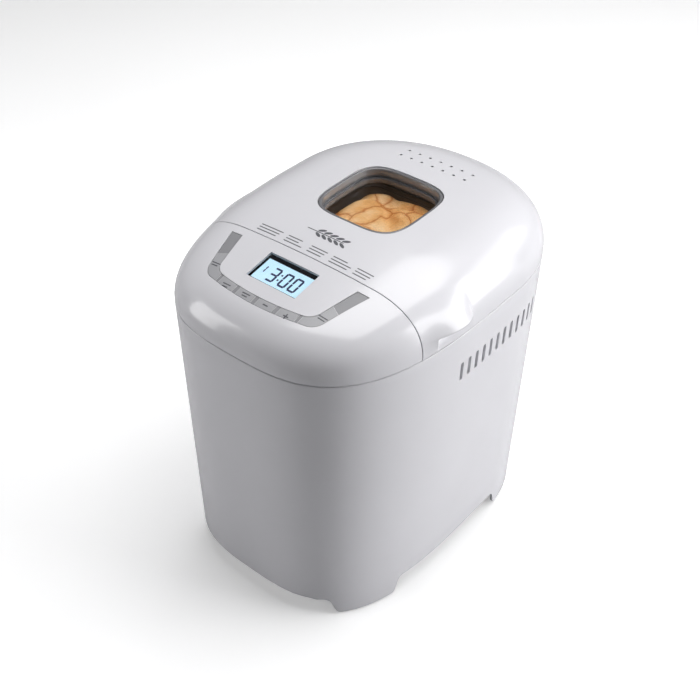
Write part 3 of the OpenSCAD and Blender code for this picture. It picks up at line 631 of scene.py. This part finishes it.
def decal(name, outline, trees, lift=0.05, depth=0.25):
    """Thin printed patch, cut across in short steps so that it follows the surface under it."""
    low, high = edge_chains(outline)
    left, right = outline[:, 0].min(), outline[:, 0].max()
    end, step = 0.05, 0.8
    sections = []
    for x in np.linspace(left + end, right - end, 3 + int((right - left) / step)):
        y_low, y_high = np.interp(x, low[:, 0], low[:, 1]), np.interp(x, high[:, 0], high[:, 1])
        z_low, z_high = surface_z(x, y_low, trees), surface_z(x, y_high, trees)
        sections.append(np.array([(x, y_low, z_low - depth), (x, y_high, z_high - depth),
                                  (x, y_high, z_high + lift), (x, y_low, z_low + lift)]))
    return make(name, loft(sections), False)


def surface_z(x, y, trees):
    """Height of the first of several surfaces under a point."""
    above = Vector((x * MM, y * MM, 0.4))
    for tree in trees:
        spot = tree.ray_cast(above, Vector((0, 0, -1)))[0]
        if spot:
            return spot.z / MM
    return top_z(x, y)


def panel_to_plan(points):
    """Plan points of points in the panel's plane."""
    return np.column_stack([points[:, 0], PANEL_Y + points[:, 1] * math.cos(PANEL_PITCH)])


def display_parts():
    """Black surround, pale field and digits under the lens."""
    field_outline = round_rect(FIELD_W, FIELD_L, 0.4, FIELD_MIDDLE, 3)
    surround = make("display_surround", on_panel(display_frame(FIELD_Z - PRINT_T, FIELD_Z + PRINT_T)), False)
    field = make("display_field", on_panel(prism(field_outline, FIELD_Z - PRINT_T, FIELD_Z)), False)
    digits = make("display_digits", on_panel(together(digit_solids(FIELD_Z))), False)
    return surround, field, digits


def display_frame(low, high):
    """Flat frame from the display's opening in to the pale field."""
    room, lap = 0.8, 0.4
    outer = round_rect(DISPLAY_W - room, DISPLAY_L - room, 0.6, steps=3)
    inner = round_rect(FIELD_W - lap, FIELD_L - lap, 0.4, FIELD_MIDDLE, 3)
    section = ((outer, low), (outer, high), (inner, high), (inner, low))
    return shell([at_height(points, z) for points, z in section])


SEGMENTS = {
    "0": "abcdef",
    "1": "bc",
    "3": "abgcd",
}


def segment_box(segment, w, h, t):
    """Plan rectangle of one of a digit's seven segments: centre and size."""
    places = {"a": (0, h / 2, w, t), "g": (0, 0, w, t), "d": (0, -h / 2, w, t),
              "f": (-w / 2, h / 4, t, h / 2), "b": (w / 2, h / 4, t, h / 2),
              "e": (-w / 2, -h / 4, t, h / 2), "c": (w / 2, -h / 4, t, h / 2)}
    return places[segment]


def thin_print(points, base):
    """Thin solid that stands just clear of the display's field."""
    return prism(points, base + 0.02, base + 0.1)


def digit(character, x, y, w, h, t, base):
    """Seven-segment digit with strokes of thickness t around a middle."""
    solids = []
    for segment in SEGMENTS[character]:
        cx, cy, sx, sy = segment_box(segment, w, h, t)
        size = (sx + (0.1 if sx > sy else 0), sy - (t * 0.3 if sy > sx else 0))
        solids.append(thin_print(round_rect(size[0], size[1], min(size) * 0.3, (x + cx, y + cy), 3), base))
    return solids


def digit_solids(base):
    """A small programme number, then hours, a colon and minutes."""
    solids = digit("1", -16.5, -1.0, 2.6, 6.4, 1.0, base)
    for x, character in ((-6.2, "3"), (5.0, "0"), (14.0, "0")):
        solids += digit(character, x, -2.6, 5.4, 12.4, 1.6, base)
    for y in (-5.2, 0.0):
        solids.append(thin_print(round_rect(1.5, 1.5, 0.5, (-0.5, y), 3), base))
    return solids


def bar_outline(w, l, centre):
    """A printed bar with slightly rounded corners."""
    return round_rect(w, l, 0.3, centre, 3)


def key_marks(trees):
    """Small generic marks on the keys: bars, a plus and a minus."""
    corner_keys, row_gap, stroke, arm = (1, 6), 2.2, 1.0, 4.6
    front_y, corner_y, corner_x = -28.9, -16.5, 50.0
    marks = []
    for i in (1, 2, 3, 6):
        at_corner = i in corner_keys
        x = math.copysign(corner_x, i - 3.5) if at_corner else (i - 3.5) * KEY_PITCH
        y = corner_y if at_corner else front_y
        for k, width in enumerate((8.2, 6.0) if at_corner else (7.4, 5.0)):
            spot = panel_to_plan(np.array([(x, y + row_gap / 2 - row_gap * k)]))[0]
            marks.append(decal("mark_%s_%d" % (KEY_NAMES[i - 1], k), bar_outline(width, 0.9, spot), trees))
    for i in (4, 5):
        spot = panel_to_plan(np.array([((i - 3.5) * KEY_PITCH, front_y)]))[0]
        marks.append(decal("mark_%s_0" % KEY_NAMES[i - 1], bar_outline(arm, stroke, spot), trees))
    spot = panel_to_plan(np.array([(1.5 * KEY_PITCH, front_y)]))[0]
    marks.append(decal("mark_plus_1", bar_outline(stroke, arm, spot), trees, lift=0.06))
    return marks


def programme_bars(trees):
    """Three short rows of bars in each of five columns along the lid's front edge."""
    columns = ((-50.7, -27.5), (-24.4, -6.0), (-2.5, 15.4), (17.9, 37.6), (39.7, 58.1))
    shares = (0.92, 0.74, 0.85, 0.66, 0.8)
    first_y, row_gap, stroke = -62.3, 2.9, 0.9
    bars = []
    for c, (left, right) in enumerate(columns):
        for row in range(3):
            width = (right - left) * shares[(c + 2 * row) % len(shares)]
            spot = (left + width / 2, first_y - row_gap * row)
            bars.append(decal("bar_%d_%d" % (c, row), bar_outline(width, stroke, spot), trees))
    return bars


def grain_emblem(trees):
    """Plain ear of grain: a stalk with pairs of seeds."""
    stalk_y, first_x, pitch, pairs = -47.5, -7.0, 5.6, 5
    seed_x, seed_y, seed_offset, seed_turn = 3.3, 1.25, 2.7, math.radians(28)
    parts = [decal("emblem_stalk", bar_outline(34, 0.8, (-2, stalk_y)), trees)]
    t = np.linspace(0, 2 * math.pi, 24, endpoint=False)
    seed = np.column_stack([seed_x * np.cos(t), seed_y * np.sin(t)])
    for k in range(pairs):
        for side in (-1, 1):
            turn = side * seed_turn
            spin = np.array([[math.cos(turn), math.sin(turn)], [-math.sin(turn), math.cos(turn)]])
            spot = np.array((first_x + pitch * k, stalk_y + side * seed_offset))
            parts.append(decal("emblem_seed_%d%s" % (k, "ab"[side > 0]), seed @ spin + spot, trees))
    return parts


# ---------- window, oven and loaf ----------

def squircle_ring(outer, inner, z_low, z_high, r):
    """Window-shaped ring with rounded top edges, between two insets from the window's edge."""
    def level(inset, z):
        return at_height(squircle(WINDOW_W - 2 * inset, WINDOW_L - 2 * inset), z)

    rings = [level(outer, z_low)]
    rings += [level(outer + r * (1 - math.cos(t)), z_high - r + r * math.sin(t)) for t in EDGE_ANGLES]
    rings += [level(inner - r * (1 - math.sin(t)), z_high - r + r * math.cos(t)) for t in EDGE_ANGLES]
    rings.append(level(inner, z_low))
    return shell(rings)


def window_ring():
    """The grey ring over the glass, and the darker skirt that holds both panes."""
    glass_top, glass_low = GLASS_Z + GLASS_T, GLASS_Z - GLASS_GAP - GLASS_T
    obj = make("window_ring", squircle_ring(BEZEL_GAP, BEZEL_RIM, glass_top, BEZEL_TOP_Z, 0.8))
    crease(obj, 40)
    skirt = make("window_skirt", squircle_ring(BEZEL_GAP, GLASS_RIM - 0.2, glass_low, glass_top, 0.2))
    crease(skirt, 40)
    return obj, skirt


def pane(name, z):
    """Glass with a small arris round its edges."""
    a = 0.4
    w, l = WINDOW_W - 2 * GLASS_RIM, WINDOW_L - 2 * GLASS_RIM
    rings = [at_height(squircle(w - 2 * s, l - 2 * s), z + h)
             for s, h in ((a, 0), (0, a), (0, GLASS_T - a), (a, GLASS_T))]
    obj = make(name, loft(rings))
    crease(obj, 30)
    return obj


def loaf_radius(t):
    """Plan of the loaf at an angle: a rounded rectangle filling the pan."""
    c, s = abs(math.cos(t)), abs(math.sin(t))
    return ((c / LOAF_X) ** LOAF_CORNERS + (s / LOAF_Y) ** LOAF_CORNERS) ** (-1 / LOAF_CORNERS)


def groove(across, width, u):
    """Share of a split's depth in the crust; it fades out toward the loaf's side."""
    return math.exp(-(across / width) ** 2) * max(0.0, 1 - u * u)


def crust_height(u, x, y):
    """Height of the crust over the loaf's rim, at u from the middle (0) to the side (1)."""
    dome = LOAF_DOME * max(0.0, 1 - u ** DOME_POWER) ** 0.5
    spot = Vector((x, y, 3.1))
    lumps = 2.6 * noise.noise(spot * 0.035) + 1.1 * noise.noise(spot * 0.09)
    wander = 9 * noise.noise(spot * 0.03 + Vector((7, 0, 0)))
    fine = 0.25 * noise.noise(spot * 0.45)
    split = groove(x * 0.55 + y * 0.35 + wander - 6, 4.2, u)
    second = groove(x * 0.2 - y * 0.5 + wander + 13, 3.4, u)
    return dome + (lumps + fine) * (1 - 0.5 * u) - 4.5 * split - 3.2 * second


def loaf():
    """Baked loaf filling the pan, with a domed, cracked crust."""
    columns, rows = 200, 90
    low = PAN_FLOOR_Z + 36
    rim = PAN_RIM_Z - 1

    def plan(scale):
        points = []
        for i in range(columns):
            t = 2 * math.pi * i / columns
            r = scale * loaf_radius(t)
            points.append((r * math.cos(t), OVEN_Y + r * math.sin(t)))
        return np.array(points)

    sides = ((0.9, low), (0.945, low + 8), (0.97, rim - 40), (0.985, rim - 12))
    rings = [at_height(plan(scale), z) for scale, z in sides]
    for k in range(rows):
        u = 1 - (k / rows) ** 1.3
        points = plan(u)
        heights = [rim + crust_height(u, x, y - OVEN_Y) for x, y in points]
        rings.append(at_height(points, heights))
    obj = make("loaf", loft(rings, [[0, OVEN_Y, rim + crust_height(0, 0, 0)]]))
    crease(obj, 60)
    return obj


def pan_level(z, inset):
    """Pan's plan at a height."""
    k = (PAN_RIM_Z - z) / (PAN_RIM_Z - PAN_FLOOR_Z)
    w, l = PAN_W - 2 * PAN_TAPER * k - 2 * inset, PAN_L - 2 * PAN_TAPER * k - 2 * inset
    return at_height(round_rect(w, l, CORNER_R - 2 - inset, (0, OVEN_Y), 12), z)


def pan_lining():
    """Thin smooth sleeve inside the pan's walls."""
    levels = np.linspace(PAN_RIM_Z + 1.0, PAN_FLOOR_Z + 2.0, 20)
    skin = [pan_level(z, PAN_WALL + 0.3) for z in levels]
    back = [pan_level(z, PAN_WALL + 0.02) for z in levels[::-1]]
    obj = make("pan_lining", shell(skin + back))
    crease(obj, 40)
    return obj


# ---------- materials ----------

class Nodes:
    """Short way to build one node material."""

    def __init__(self, name):
        self.material = bpy.data.materials.new(name)
        self.material.use_nodes = True
        self.tree = self.material.node_tree
        self.shader = self.tree.nodes["Principled BSDF"]
        self.place = self.add("ShaderNodeTexCoord").outputs["Object"]

    def add(self, kind, **settings):
        node = self.tree.nodes.new(kind)
        for key, value in settings.items():
            setattr(node, key, value)
        return node

    def join(self, a, b):
        self.tree.links.new(a, b)

    def set(self, **values):
        """Fixed values for the shader's inputs."""
        for key, value in values.items():
            self.shader.inputs[key.replace("_", " ")].default_value = value

    def feed(self, **outputs):
        """Outputs of other nodes joined to the shader's inputs."""
        for key, output in outputs.items():
            self.join(output, self.shader.inputs[key.replace("_", " ")])

    def noise(self, per_metre, detail=4.0, stretch=(1, 1, 1), rough=0.55):
        """Noise with so many cells in each metre, optionally stretched."""
        mapping = self.add("ShaderNodeMapping")
        mapping.inputs["Scale"].default_value = [per_metre * s for s in stretch]
        self.join(self.place, mapping.inputs["Vector"])
        texture = self.add("ShaderNodeTexNoise")
        texture.inputs["Scale"].default_value = 1.0
        texture.inputs["Detail"].default_value = detail
        texture.inputs["Roughness"].default_value = rough
        self.join(mapping.outputs["Vector"], texture.inputs["Vector"])
        return texture.outputs["Fac"]

    def ramp(self, value, *stops):
        """Colours at positions along a value."""
        node = self.add("ShaderNodeValToRGB")
        elements = node.color_ramp.elements
        while len(elements) < len(stops):
            elements.new(0.5)
        for element, (position, colour) in zip(elements, stops):
            element.position = position
            element.color = (*colour, 1.0)
        self.join(value, node.inputs["Fac"])
        return node.outputs["Color"]

    def span(self, value, low, high):
        """A value from 0.3 to 0.7 mapped onto low to high."""
        node = self.add("ShaderNodeMapRange")
        node.inputs["From Min"].default_value = 0.3
        node.inputs["From Max"].default_value = 0.7
        node.inputs["To Min"].default_value = low
        node.inputs["To Max"].default_value = high
        self.join(value, node.inputs["Value"])
        return node.outputs["Result"]

    def bump(self, value, height, edge=0.0):
        """Bump of a height in metres; edge rounds the look of sharp edges."""
        node = self.add("ShaderNodeBump")
        node.inputs["Strength"].default_value = 1.0
        node.inputs["Distance"].default_value = height
        self.join(value, node.inputs["Height"])
        if edge:
            rounding = self.add("ShaderNodeBevel", samples=4)
            rounding.inputs["Radius"].default_value = edge
            self.join(rounding.outputs["Normal"], node.inputs["Normal"])
        self.feed(Normal=node.outputs["Normal"])


def shade(colour, amount):
    """A colour made darker or lighter."""
    return tuple(min(1.0, c * amount) for c in colour)


def plastic(name, colour, roughness, grain=900.0, grain_height=4e-6, coat=0.0, edge=0.0004):
    """Moulded plastic: faint clouding, fine surface texture and uneven sheen."""
    spread = 0.03
    n = Nodes(name)
    clouds = n.ramp(n.noise(9.0, 3.0), (0.35, shade(colour, 0.985)), (0.65, shade(colour, 1.01)))
    n.feed(Base_Color=clouds)
    fine = n.noise(grain, 3.0)
    n.feed(Roughness=n.span(n.noise(45.0, 5.0), roughness - spread, roughness + spread))
    n.bump(fine, grain_height, edge)
    n.set(Coat_Weight=coat, Coat_Roughness=0.05, IOR=1.5)
    return n.material


def metal(name, colour, roughness, stretch=(1, 1, 30), grain=220.0, height=3e-6, metallic=1.0):
    """Sheet or turned metal with a directional grain."""
    n = Nodes(name)
    streaks = n.noise(grain, 6.0, stretch)
    brushed = n.ramp(streaks, (0.3, shade(colour, 0.86)), (0.7, shade(colour, 1.06)))
    n.feed(Base_Color=brushed)
    n.feed(Roughness=n.span(n.noise(60.0, 4.0), roughness - 0.07, roughness + 0.08))
    n.bump(streaks, height, 0.0003)
    n.set(Metallic=metallic)
    return n.material


def coated(name, colour, roughness):
    """Non-stick or heat-proof coating: fine speckle with a soft orange-peel."""
    n = Nodes(name)
    stops = ((0.45, colour), (0.62, shade(colour, 1.25)), (0.74, shade(colour, 2.2)))
    n.feed(Base_Color=n.ramp(n.noise(2600.0, 2.0), *stops))
    n.feed(Roughness=n.span(n.noise(80.0, 4.0), roughness - 0.06, roughness + 0.08))
    n.bump(n.noise(700.0, 3.0), 1.2e-5, 0.0003)
    return n.material


def rubber(name, colour, roughness):
    """Dull rubber with a fine grain."""
    n = Nodes(name)
    n.feed(Base_Color=n.ramp(n.noise(120.0, 5.0), (0.3, shade(colour, 0.8)), (0.7, shade(colour, 1.25))))
    n.feed(Roughness=n.span(n.noise(300.0, 4.0), roughness - 0.08, roughness + 0.06))
    n.bump(n.noise(1500.0, 3.0), 2.5e-5, 0.0004)
    return n.material


def glass(name, tint, roughness=0.02):
    """Clear pane: it mirrors more at a glancing angle and lets light straight through."""
    n = Nodes(name)
    n.feed(Base_Color=n.ramp(n.noise(14.0, 2.0), (0.3, shade(tint, 0.97)), (0.7, tint)))
    n.feed(Roughness=n.span(n.noise(40.0, 4.0), roughness * 0.5, roughness * 2.5))
    n.bump(n.noise(25.0, 2.0), 1e-6)
    glancing = n.add("ShaderNodeLayerWeight")
    glancing.inputs["Blend"].default_value = 0.5
    steep = n.add("ShaderNodeMath", operation="POWER")
    steep.inputs[1].default_value = 4.0
    mirror = n.add("ShaderNodeMath", operation="MULTIPLY_ADD")
    mirror.inputs[1].default_value = 0.8
    mirror.inputs[2].default_value = 0.02
    n.join(glancing.outputs["Facing"], steep.inputs[0])
    n.join(steep.outputs["Value"], mirror.inputs[0])
    n.feed(Alpha=mirror.outputs["Value"])
    n.set(Metallic=1.0)
    return n.material


def circuit_board(name):
    """Green solder mask with paler tracks."""
    n = Nodes(name)
    cells = n.add("ShaderNodeTexVoronoi", distance="CHEBYCHEV")
    cells.inputs["Scale"].default_value = 330.0
    n.join(n.place, cells.inputs["Vector"])
    n.feed(Base_Color=n.ramp(cells.outputs["Distance"], (0.0, (0.02, 0.16, 0.06)),
                             (0.55, (0.03, 0.2, 0.08)), (0.62, (0.1, 0.32, 0.14))))
    n.feed(Roughness=n.span(n.noise(90.0), 0.3, 0.45))
    n.bump(cells.outputs["Distance"], 4e-5)
    return n.material


def lcd_field(name):
    """Backlit pale-blue display, a little uneven in brightness."""
    n = Nodes(name)
    glow = n.ramp(n.noise(30.0, 2.0), (0.3, (0.5, 0.76, 0.9)), (0.7, (0.6, 0.84, 0.95)))
    n.feed(Base_Color=glow, Emission_Color=glow)
    n.feed(Roughness=n.span(n.noise(60.0), 0.25, 0.4))
    n.bump(n.noise(1800.0, 1.0), 1e-6)
    n.set(Emission_Strength=0.28)
    return n.material


def crust(name):
    """Golden crust with a network of fine cracks, a floury grain and a faint painted glow."""
    n = Nodes(name)
    warp = n.add("ShaderNodeVectorMath", operation="MULTIPLY_ADD")
    warp.inputs[1].default_value = (0.012, 0.012, 0.012)
    wander = n.add("ShaderNodeTexNoise")
    wander.inputs["Scale"].default_value = 55.0
    n.join(n.place, wander.inputs["Vector"])
    n.join(wander.outputs["Color"], warp.inputs[0])
    n.join(n.place, warp.inputs[2])
    cells = n.add("ShaderNodeTexVoronoi", feature="DISTANCE_TO_EDGE")
    cells.inputs["Scale"].default_value = 34.0
    n.join(warp.outputs["Vector"], cells.inputs["Vector"])
    crack = n.ramp(cells.outputs["Distance"], (0.0, (0.6, 0.32, 0.16)), (0.035, (0.9, 0.8, 0.7)),
                   (0.1, (1, 1, 1)))
    base = n.ramp(n.noise(38.0, 8.0, rough=0.65), (0.3, (0.66, 0.27, 0.07)), (0.43, (0.84, 0.45, 0.16)),
                  (0.56, (0.93, 0.60, 0.30)), (0.75, (0.97, 0.74, 0.46)))
    both = n.add("ShaderNodeMix", data_type="RGBA", blend_type="MULTIPLY")
    both.inputs["Factor"].default_value = 1.0
    n.join(base, both.inputs["A"])
    n.join(crack, both.inputs["B"])
    # Painted light: the crust glows faintly in its own colour so that the loaf shows in the shade behind the
    # window.
    n.feed(Base_Color=both.outputs["Result"], Emission_Color=both.outputs["Result"])
    n.set(Emission_Strength=0.2)
    n.feed(Roughness=n.span(n.noise(200.0, 5.0), 0.5, 0.75))
    n.bump(n.noise(420.0, 8.0, rough=0.7), 5e-4)
    return n.material


def finishes():
    """One material for each of the record's slots, and a few for the extra pieces."""
    return {
        "white_gloss": plastic("white_gloss", (0.76, 0.755, 0.79), 0.2, 700.0, 2e-6, 0.25),
        "white_matte": plastic("white_matte", (0.74, 0.74, 0.76), 0.5, 1400.0, 1e-5),
        "key_grey": plastic("key_grey", (0.42, 0.42, 0.44), 0.36, 1800.0, 6e-6, 0.1),
        "inlay_grey": plastic("inlay_grey", (0.30, 0.30, 0.315), 0.38, 1800.0, 6e-6),
        "bezel_grey": plastic("bezel_grey", (0.2, 0.2, 0.21), 0.18, 900.0, 3e-6, 0.3),
        "clear_glass": glass("clear_glass", (0.96, 0.98, 0.99)),
        "lens": glass("lens", (0.97, 0.98, 1.0), 0.01),
        "lcd": lcd_field("lcd"),
        "board": circuit_board("board"),
        "aluminium": metal("aluminium", (0.72, 0.72, 0.73), 0.34),
        "steel": metal("steel", (0.56, 0.56, 0.58), 0.3, (1, 1, 12), 300.0),
        "element": metal("element", (0.11, 0.1, 0.1), 0.5, (6, 6, 1), 160.0, 8e-6, 0.8),
        "nonstick": coated("nonstick", (0.07, 0.071, 0.08), 0.36),
        "dark_coat": coated("dark_coat", (0.20, 0.20, 0.212), 0.42),
        "bronze": metal("bronze", (0.52, 0.33, 0.14), 0.34, (1, 1, 8), 400.0),
        "rubber": rubber("rubber", (0.09, 0.09, 0.095), 0.7),
        "silicone": rubber("silicone", (0.16, 0.16, 0.17), 0.5),
        "ceramic": plastic("ceramic", (0.72, 0.68, 0.6), 0.6, 1600.0, 2e-5, 0.0, 0.0003),
        "print_dark": plastic("print_dark", (0.10, 0.10, 0.115), 0.5, 2000.0, 2e-6, 0.0, 0.0),
        "display_black": plastic("display_black", (0.008, 0.008, 0.01), 0.2, 1500.0, 1e-6, 0.2, 0.0),
        "digit_navy": plastic("digit_navy", (0.015, 0.025, 0.10), 0.4, 2000.0, 1e-6, 0.0, 0.0),
        "window_grey": coated("window_grey", (0.16, 0.16, 0.17), 0.4),
        "crust": crust("crust"),
    }


def paint(obj, material):
    obj.data.materials.clear()
    obj.data.materials.append(material)


def node_slots():
    """The record's slot for each CAD node."""
    slots = {}
    for part in frame["record"]["subparts"]:
        slots[part["node"]] = part["material_slot"]
    return slots


# ---------- assembly ----------

def place(obj, material, body="root", replaces=()):
    """Gives a piece its material and its body, and hides the CAD nodes it stands for."""
    paint(obj, material)
    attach(obj, body)
    if replaces:
        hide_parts(*replaces)
    return obj


def build_shells(finish):
    """Casing, front cover and lid; gives back the lid, which carries the prints."""
    place(casing(), finish["white_gloss"], "root", CASING_NODES)
    place(vent_screen(), finish["white_matte"], "root")
    place(cover_shell(), finish["white_gloss"], "root", ["front_cover"])
    return place(lid_shell(), finish["white_gloss"], "lid", ["lid_cover"])


def build_panel(finish):
    """Key caps on their buttons, what lies between them, and their marks."""
    slab = panel_slab("slab", 0.08, KEY_FLOOR)
    caps = []
    for i in range(1, 7):
        name = KEY_NAMES[i - 1]
        cap = key_cap(i, slab)
        caps.append(place(cap, finish["key_grey"], "button_" + name, ["key_" + name]))
    bpy.data.objects.remove(slab, do_unlink=True)
    place(key_spacers(), finish["inlay_grey"], "root", ["key_inlay"])
    for rib in key_dividers():
        place(rib, finish["white_matte"], "root")
    trees = [tree_of(cap) for cap in caps]
    for mark in key_marks(trees):
        name = mark.name.split("_")[1]
        place(mark, finish["print_dark"], "button_" + name)


def build_display(finish):
    surround, field, digits = display_parts()
    place(surround, finish["display_black"])
    place(field, finish["lcd"], "root")
    place(digits, finish["digit_navy"])


def build_window(finish):
    clear = finish["clear_glass"]
    inner_z = GLASS_Z - GLASS_GAP - GLASS_T
    ring, skirt = window_ring()
    place(ring, finish["bezel_grey"], "lid", ["window_bezel"])
    place(skirt, finish["window_grey"], "lid")
    place(pane("window_pane", GLASS_Z), clear, "lid", ["window_glass"])
    place(pane("inner_pane", inner_z), clear, "lid", ["inner_glass"])


def build_prints(finish, lid):
    """Printed bars and emblem on the lid."""
    trees = [tree_of(lid)]
    for print_part in programme_bars(trees) + grain_emblem(trees):
        place(print_part, finish["print_dark"], "lid")


def build_bread(finish):
    place(loaf(), finish["crust"], "pan")
    place(pan_lining(), finish["nonstick"], "pan")


def paint_nodes(finish):
    """Materials and softened edges for the CAD nodes that stay in view."""
    slots = node_slots()
    for name, obj in frame["nodes"].items():
        paint(obj, finish[slots[name]])
        crease(obj, 30)


def floor():
    """Plain floor: white to the camera, and greyer for the light that it throws back up."""
    n = Nodes("floor")
    seen = n.add("ShaderNodeLightPath").outputs["Is Camera Ray"]
    pale = n.ramp(n.noise(3.0, 3.0), (0.3, (0.96, 0.96, 0.965)), (0.7, (0.98, 0.98, 0.985)))
    blend = n.add("ShaderNodeMix", data_type="RGBA")
    blend.inputs["A"].default_value = (0.62, 0.62, 0.63, 1)
    n.join(seen, blend.inputs["Factor"])
    n.join(pale, blend.inputs["B"])
    n.feed(Base_Color=blend.outputs["Result"])
    glow = n.add("ShaderNodeMath", operation="MULTIPLY")
    glow.inputs[1].default_value = 0.3
    n.join(seen, glow.inputs[0])
    n.feed(Emission_Strength=glow.outputs["Value"])
    n.set(Emission_Color=(1, 1, 1, 1), Roughness=0.9, Specular_IOR_Level=0.0)
    size = 4000.0
    obj = make("floor", box((-size, -size, -20), (size, size, 0)), False)
    paint(obj, n.material)


def soft_light(name, place_mm, aim_mm, size_mm, watts):
    """Rectangular area light that faces a point."""
    light = bpy.data.lights.new(name, "AREA")
    light.shape = "RECTANGLE"
    light.size, light.size_y = size_mm[0] * MM, size_mm[1] * MM
    light.energy = watts
    obj = bpy.data.objects.new(name, light)
    obj.location = Vector(place_mm) * MM
    aim = Vector(aim_mm) - Vector(place_mm)
    obj.rotation_euler = aim.to_track_quat("-Z", "Y").to_euler()
    bpy.context.scene.collection.objects.link(obj)


def lights():
    """Bright from the right, above and behind; the front left and the world in front stay darker."""
    soft_light("right_box", (1350, 750, 550), (0, 0, 150), (900, 1500), 22)
    soft_light("top_box", (0, 350, 1700), (0, 0, 200), (1300, 1300), 21)
    soft_light("rear_box", (900, 1500, 1100), (0, 0, 200), (1000, 800), 5)
    soft_light("left_box", (-1300, -1200, 500), (0, 0, 150), (700, 1200), 12)
    toward_front, bright, dark = (0.35, -0.9, -0.25), 0.46, 0.12
    world = bpy.data.worlds.new("studio")
    world.use_nodes = True
    tree = world.node_tree
    where = tree.nodes.new("ShaderNodeTexCoord")
    toward = tree.nodes.new("ShaderNodeVectorMath")
    toward.operation = "DOT_PRODUCT"
    toward.inputs[1].default_value = Vector(toward_front).normalized()
    tree.links.new(where.outputs["Generated"], toward.inputs[0])
    dim = tree.nodes.new("ShaderNodeMapRange")
    dim.interpolation_type = "SMOOTHSTEP"
    dim.inputs["From Min"].default_value = -0.1
    dim.inputs["From Max"].default_value = 0.85
    dim.inputs["To Min"].default_value = bright
    dim.inputs["To Max"].default_value = dark
    tree.links.new(toward.outputs["Value"], dim.inputs["Value"])
    tree.links.new(dim.outputs["Result"], tree.nodes["Background"].inputs["Strength"])
    bpy.context.scene.world = world


def camera():
    """Where the machine is seen from, three-quarter from the right and above."""
    azimuth, elevation, roll = (math.radians(a) for a in (39.149, 39.502, 0.207))
    place_mm = (432.43, -552.67, 736.19)
    back = Vector((math.sin(azimuth) * math.cos(elevation), -math.cos(azimuth) * math.cos(elevation),
                   math.sin(elevation)))
    level = Vector((math.cos(azimuth), math.sin(azimuth), 0))
    rise = back.cross(level)
    right = level * math.cos(roll) + rise * math.sin(roll)
    up = rise * math.cos(roll) - level * math.sin(roll)
    data = bpy.data.cameras.new("camera")
    data.lens = 56.56
    data.sensor_width = 36.0
    data.clip_start = 0.01
    obj = bpy.data.objects.new("camera", data)
    turn = Matrix((right, up, back)).transposed().to_4x4()
    obj.matrix_world = Matrix.Translation(Vector(place_mm) * MM) @ turn
    bpy.context.scene.collection.objects.link(obj)
    bpy.context.scene.camera = obj


finish = finishes()
paint_nodes(finish)
lid = build_shells(finish)
build_panel(finish)
build_display(finish)
build_window(finish)
build_prints(finish, lid)
build_bread(finish)
floor()
lights()
camera()
bpy.context.scene.view_settings.view_transform = "Standard"
